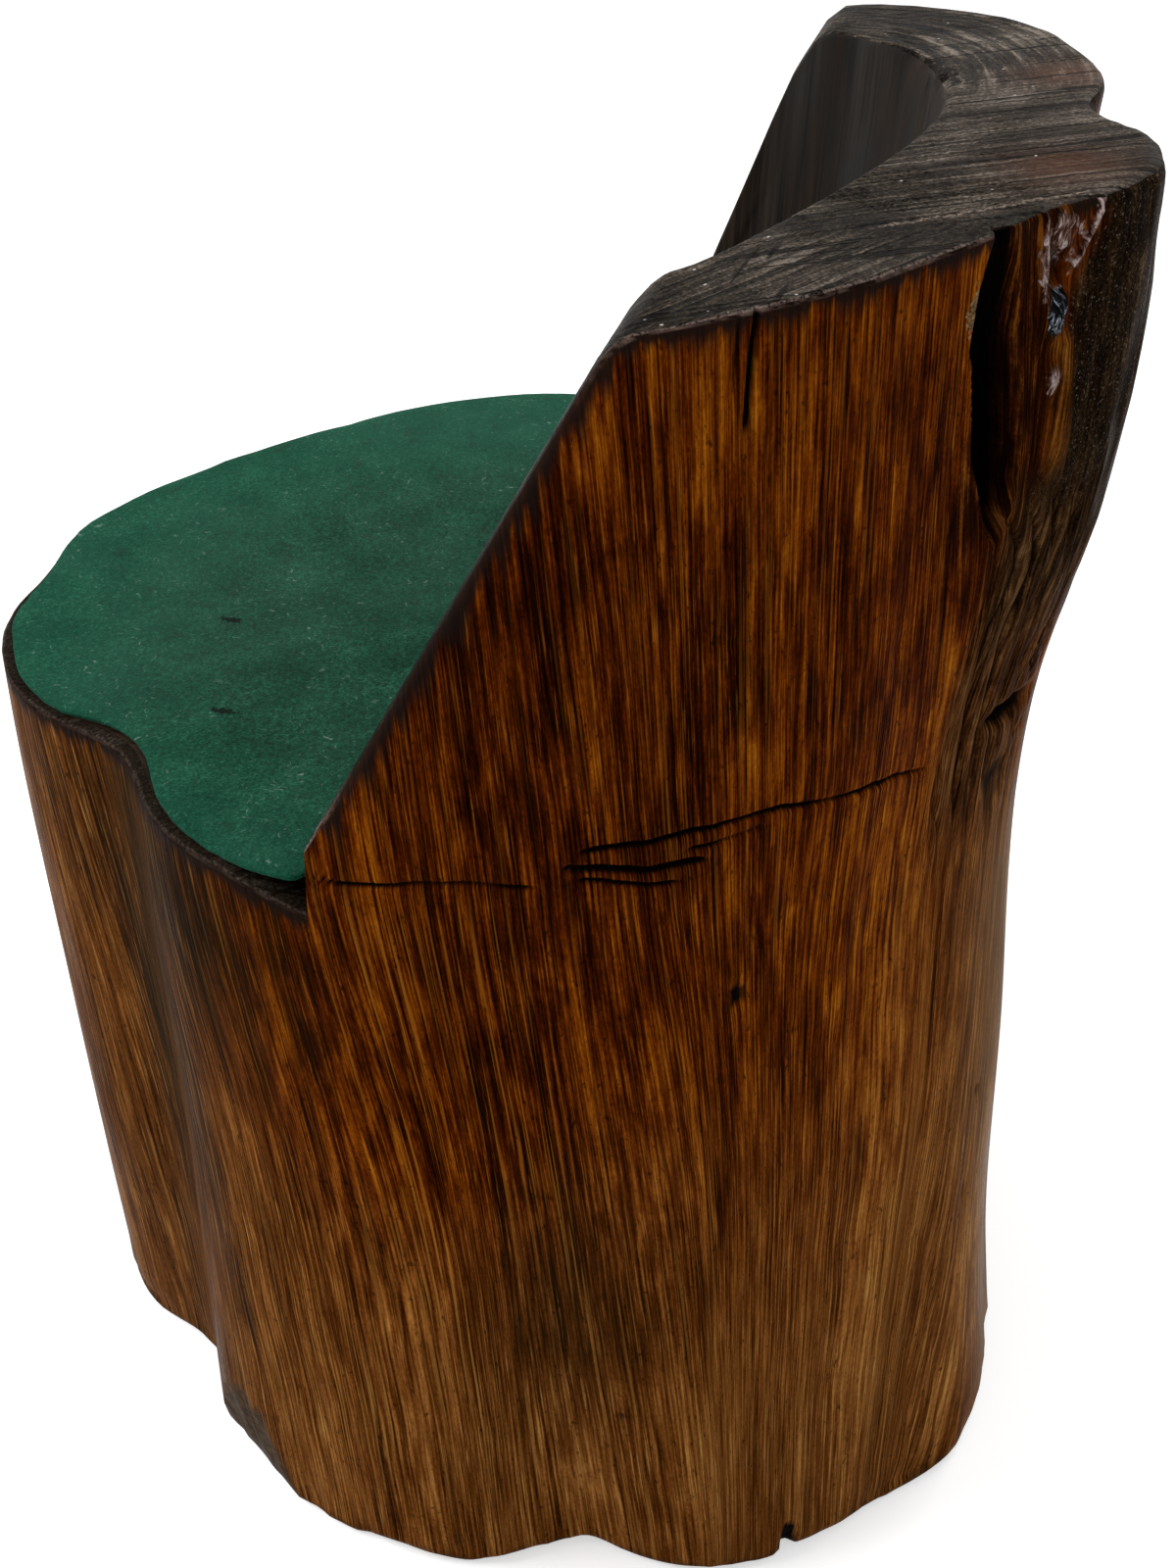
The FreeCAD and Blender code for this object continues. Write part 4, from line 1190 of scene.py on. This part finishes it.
from_middle = node(
    tree, "VectorMath", {0: place, 1: (0.03, 0.02, 0.42)}, "Value", operation="DISTANCE"
)
unfaded = blend(0.6, green, (0.003, 0.118, 0.068))
green = blend(from_to(from_middle, 0.145, 0.225, 0, 0.36), green, unfaded)
lint_patch = from_to(even(place, 0.06, 2), 0.42, 0.6, 0.2, 1)
for size, apart in ((0.0080, 0.0050), (0.0050, 0.0036)):
    curl_away = abs(even(place, size, 0) - 0.5)
    curl = from_to(curl_away, 0.008, 0.026, 1, 0) * from_to(even(nap_place, apart, 1), 0.62, 0.67)
    green = blend(curl * lint_patch * 0.5, green, (0.22, 0.32, 0.26))
stain = from_to(even(place, 0.016, 3, 0.6), 0.6, 0.72, 0, 0.35)
green = blend(stain, green, (0.015, 0.024, 0.014))
for spot, turn in FELT_SPOTS:
    spot_axes = {"Vector": place, "Location": spot, "Rotation": (0, 0, turn)}
    spot_place = node(tree, "Mapping", spot_axes, vector_type="TEXTURE")
    stretch = node(tree, "VectorMath", {0: spot_place, 1: (150, 430, 0)}, operation="MULTIPLY")
    reach = node(tree, "VectorMath", {0: stretch}, "Value", operation="LENGTH")
    ragged = reach + from_to(clumps, 0.3, 0.7, -0.5, 0.5)
    green = blend(from_to(ragged, 0.7, 1.05, 0.96, 0), green, (0.0012, 0.0045, 0.0028))
give_surface(tree, {
    "Base Color": green, "Roughness": 0.92, "Specular IOR Level": 0.05,
    "Sheen Weight": 0.08, "Sheen Roughness": 0.45, "Sheen Tint": (0.45, 0.75, 0.6, 1),
    "Normal": node(tree, "Bump", {"Strength": 0.8, "Distance": 0.0012, "Height": felt_value}),
})
felt.data.materials.append(felt_finish)
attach(felt, "root")
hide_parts("seat_felt")


# The room round it: a pale floor that runs out of sight, a pale world, a broad
# soft lamp high on the sitter's right and a weaker one behind.
def seen_rays(tree):
    """1 on rays of the camera, mirrors and glass, and 0 on those of the light."""
    camera_ray = node(tree, "LightPath", output="Is Camera Ray")
    shown = camera_ray + camera_ray.beside("Is Glossy Ray")
    return held(shown + camera_ray.beside("Is Transmission Ray"))


FLOOR_HALF, FLOOR_DROP = 9.0, -0.0006
floor_mesh = bpy.data.meshes.new("pale_floor")
floor_corners = ((-1, -1), (1, -1), (1, 1), (-1, 1))
floor_points = [(x * FLOOR_HALF, y * FLOOR_HALF, FLOOR_DROP) for x, y in floor_corners]
floor_mesh.from_pydata(floor_points, [], [(0, 1, 2, 3)])
floor = bpy.data.objects.new("pale_floor", floor_mesh)
bpy.context.scene.collection.objects.link(floor)
floor_finish, tree = new_finish("pale_floor")
give_surface(tree, {
    "Base Color": (0.86, 0.86, 0.86, 1), "Roughness": 0.9, "Specular IOR Level": 0.1,
    "Emission Color": (1, 1, 1, 1),
    "Emission Strength": from_to(seen_rays(tree), 0, 1, 0, 0.50),
})
floor_mesh.materials.append(floor_finish)

world = bpy.data.worlds.new("pale_room")
bpy.context.scene.world = world
world.use_nodes = True
sky = world.node_tree.nodes["Background"].inputs
feed(sky["Strength"], from_to(seen_rays(world.node_tree), 0, 1, 0.55, 1.0))
feed(sky["Color"], (1, 1, 1, 1))


def soft_lamp(name, place, target, width, height, watts):
    """A large area lamp at a place, aimed at a target."""
    lamp = bpy.data.lights.new(name, "AREA")
    lamp.shape, lamp.size, lamp.size_y, lamp.energy = "RECTANGLE", width, height, watts
    holder = bpy.data.objects.new(name, lamp)
    bpy.context.scene.collection.objects.link(holder)
    holder.location = place
    holder.rotation_euler = (Vector(target) - Vector(place)).to_track_quat("-Z", "Y").to_euler()


soft_lamp("key_lamp", (0.7, -2.2, 2.2), (0, 0, 0.3), 1.6, 1.2, 60)
soft_lamp("back_lamp", (-2.2, 1.2, 2.0), (0, 0, 0.5), 1.4, 1.0, 30)

# The camera stands at the photograph's angle: azimuth, elevation and roll in
# degrees, the point it looks at and its distance from that.
AZIMUTH, ELEVATION, ROLL = math.radians(103), math.radians(34.25), math.radians(1.5)
TARGET, DISTANCE = Vector((0, 0.041, 0.313)), 1.014
level = math.cos(ELEVATION)
back = Vector((level * math.sin(AZIMUTH), -level * math.cos(AZIMUTH), math.sin(ELEVATION)))
camera_data = bpy.data.cameras.new("camera")
camera_data.lens, camera_data.sensor_width = 45, 36
camera = bpy.data.objects.new("camera", camera_data)
bpy.context.scene.collection.objects.link(camera)
camera.location = TARGET + back * DISTANCE
camera.rotation_mode = "QUATERNION"
camera.rotation_quaternion = (-back).to_track_quat("-Z", "Y") @ Quaternion((0, 0, 1), ROLL)
bpy.context.scene.camera = camera
bpy.context.scene.view_settings.view_transform = "Standard"
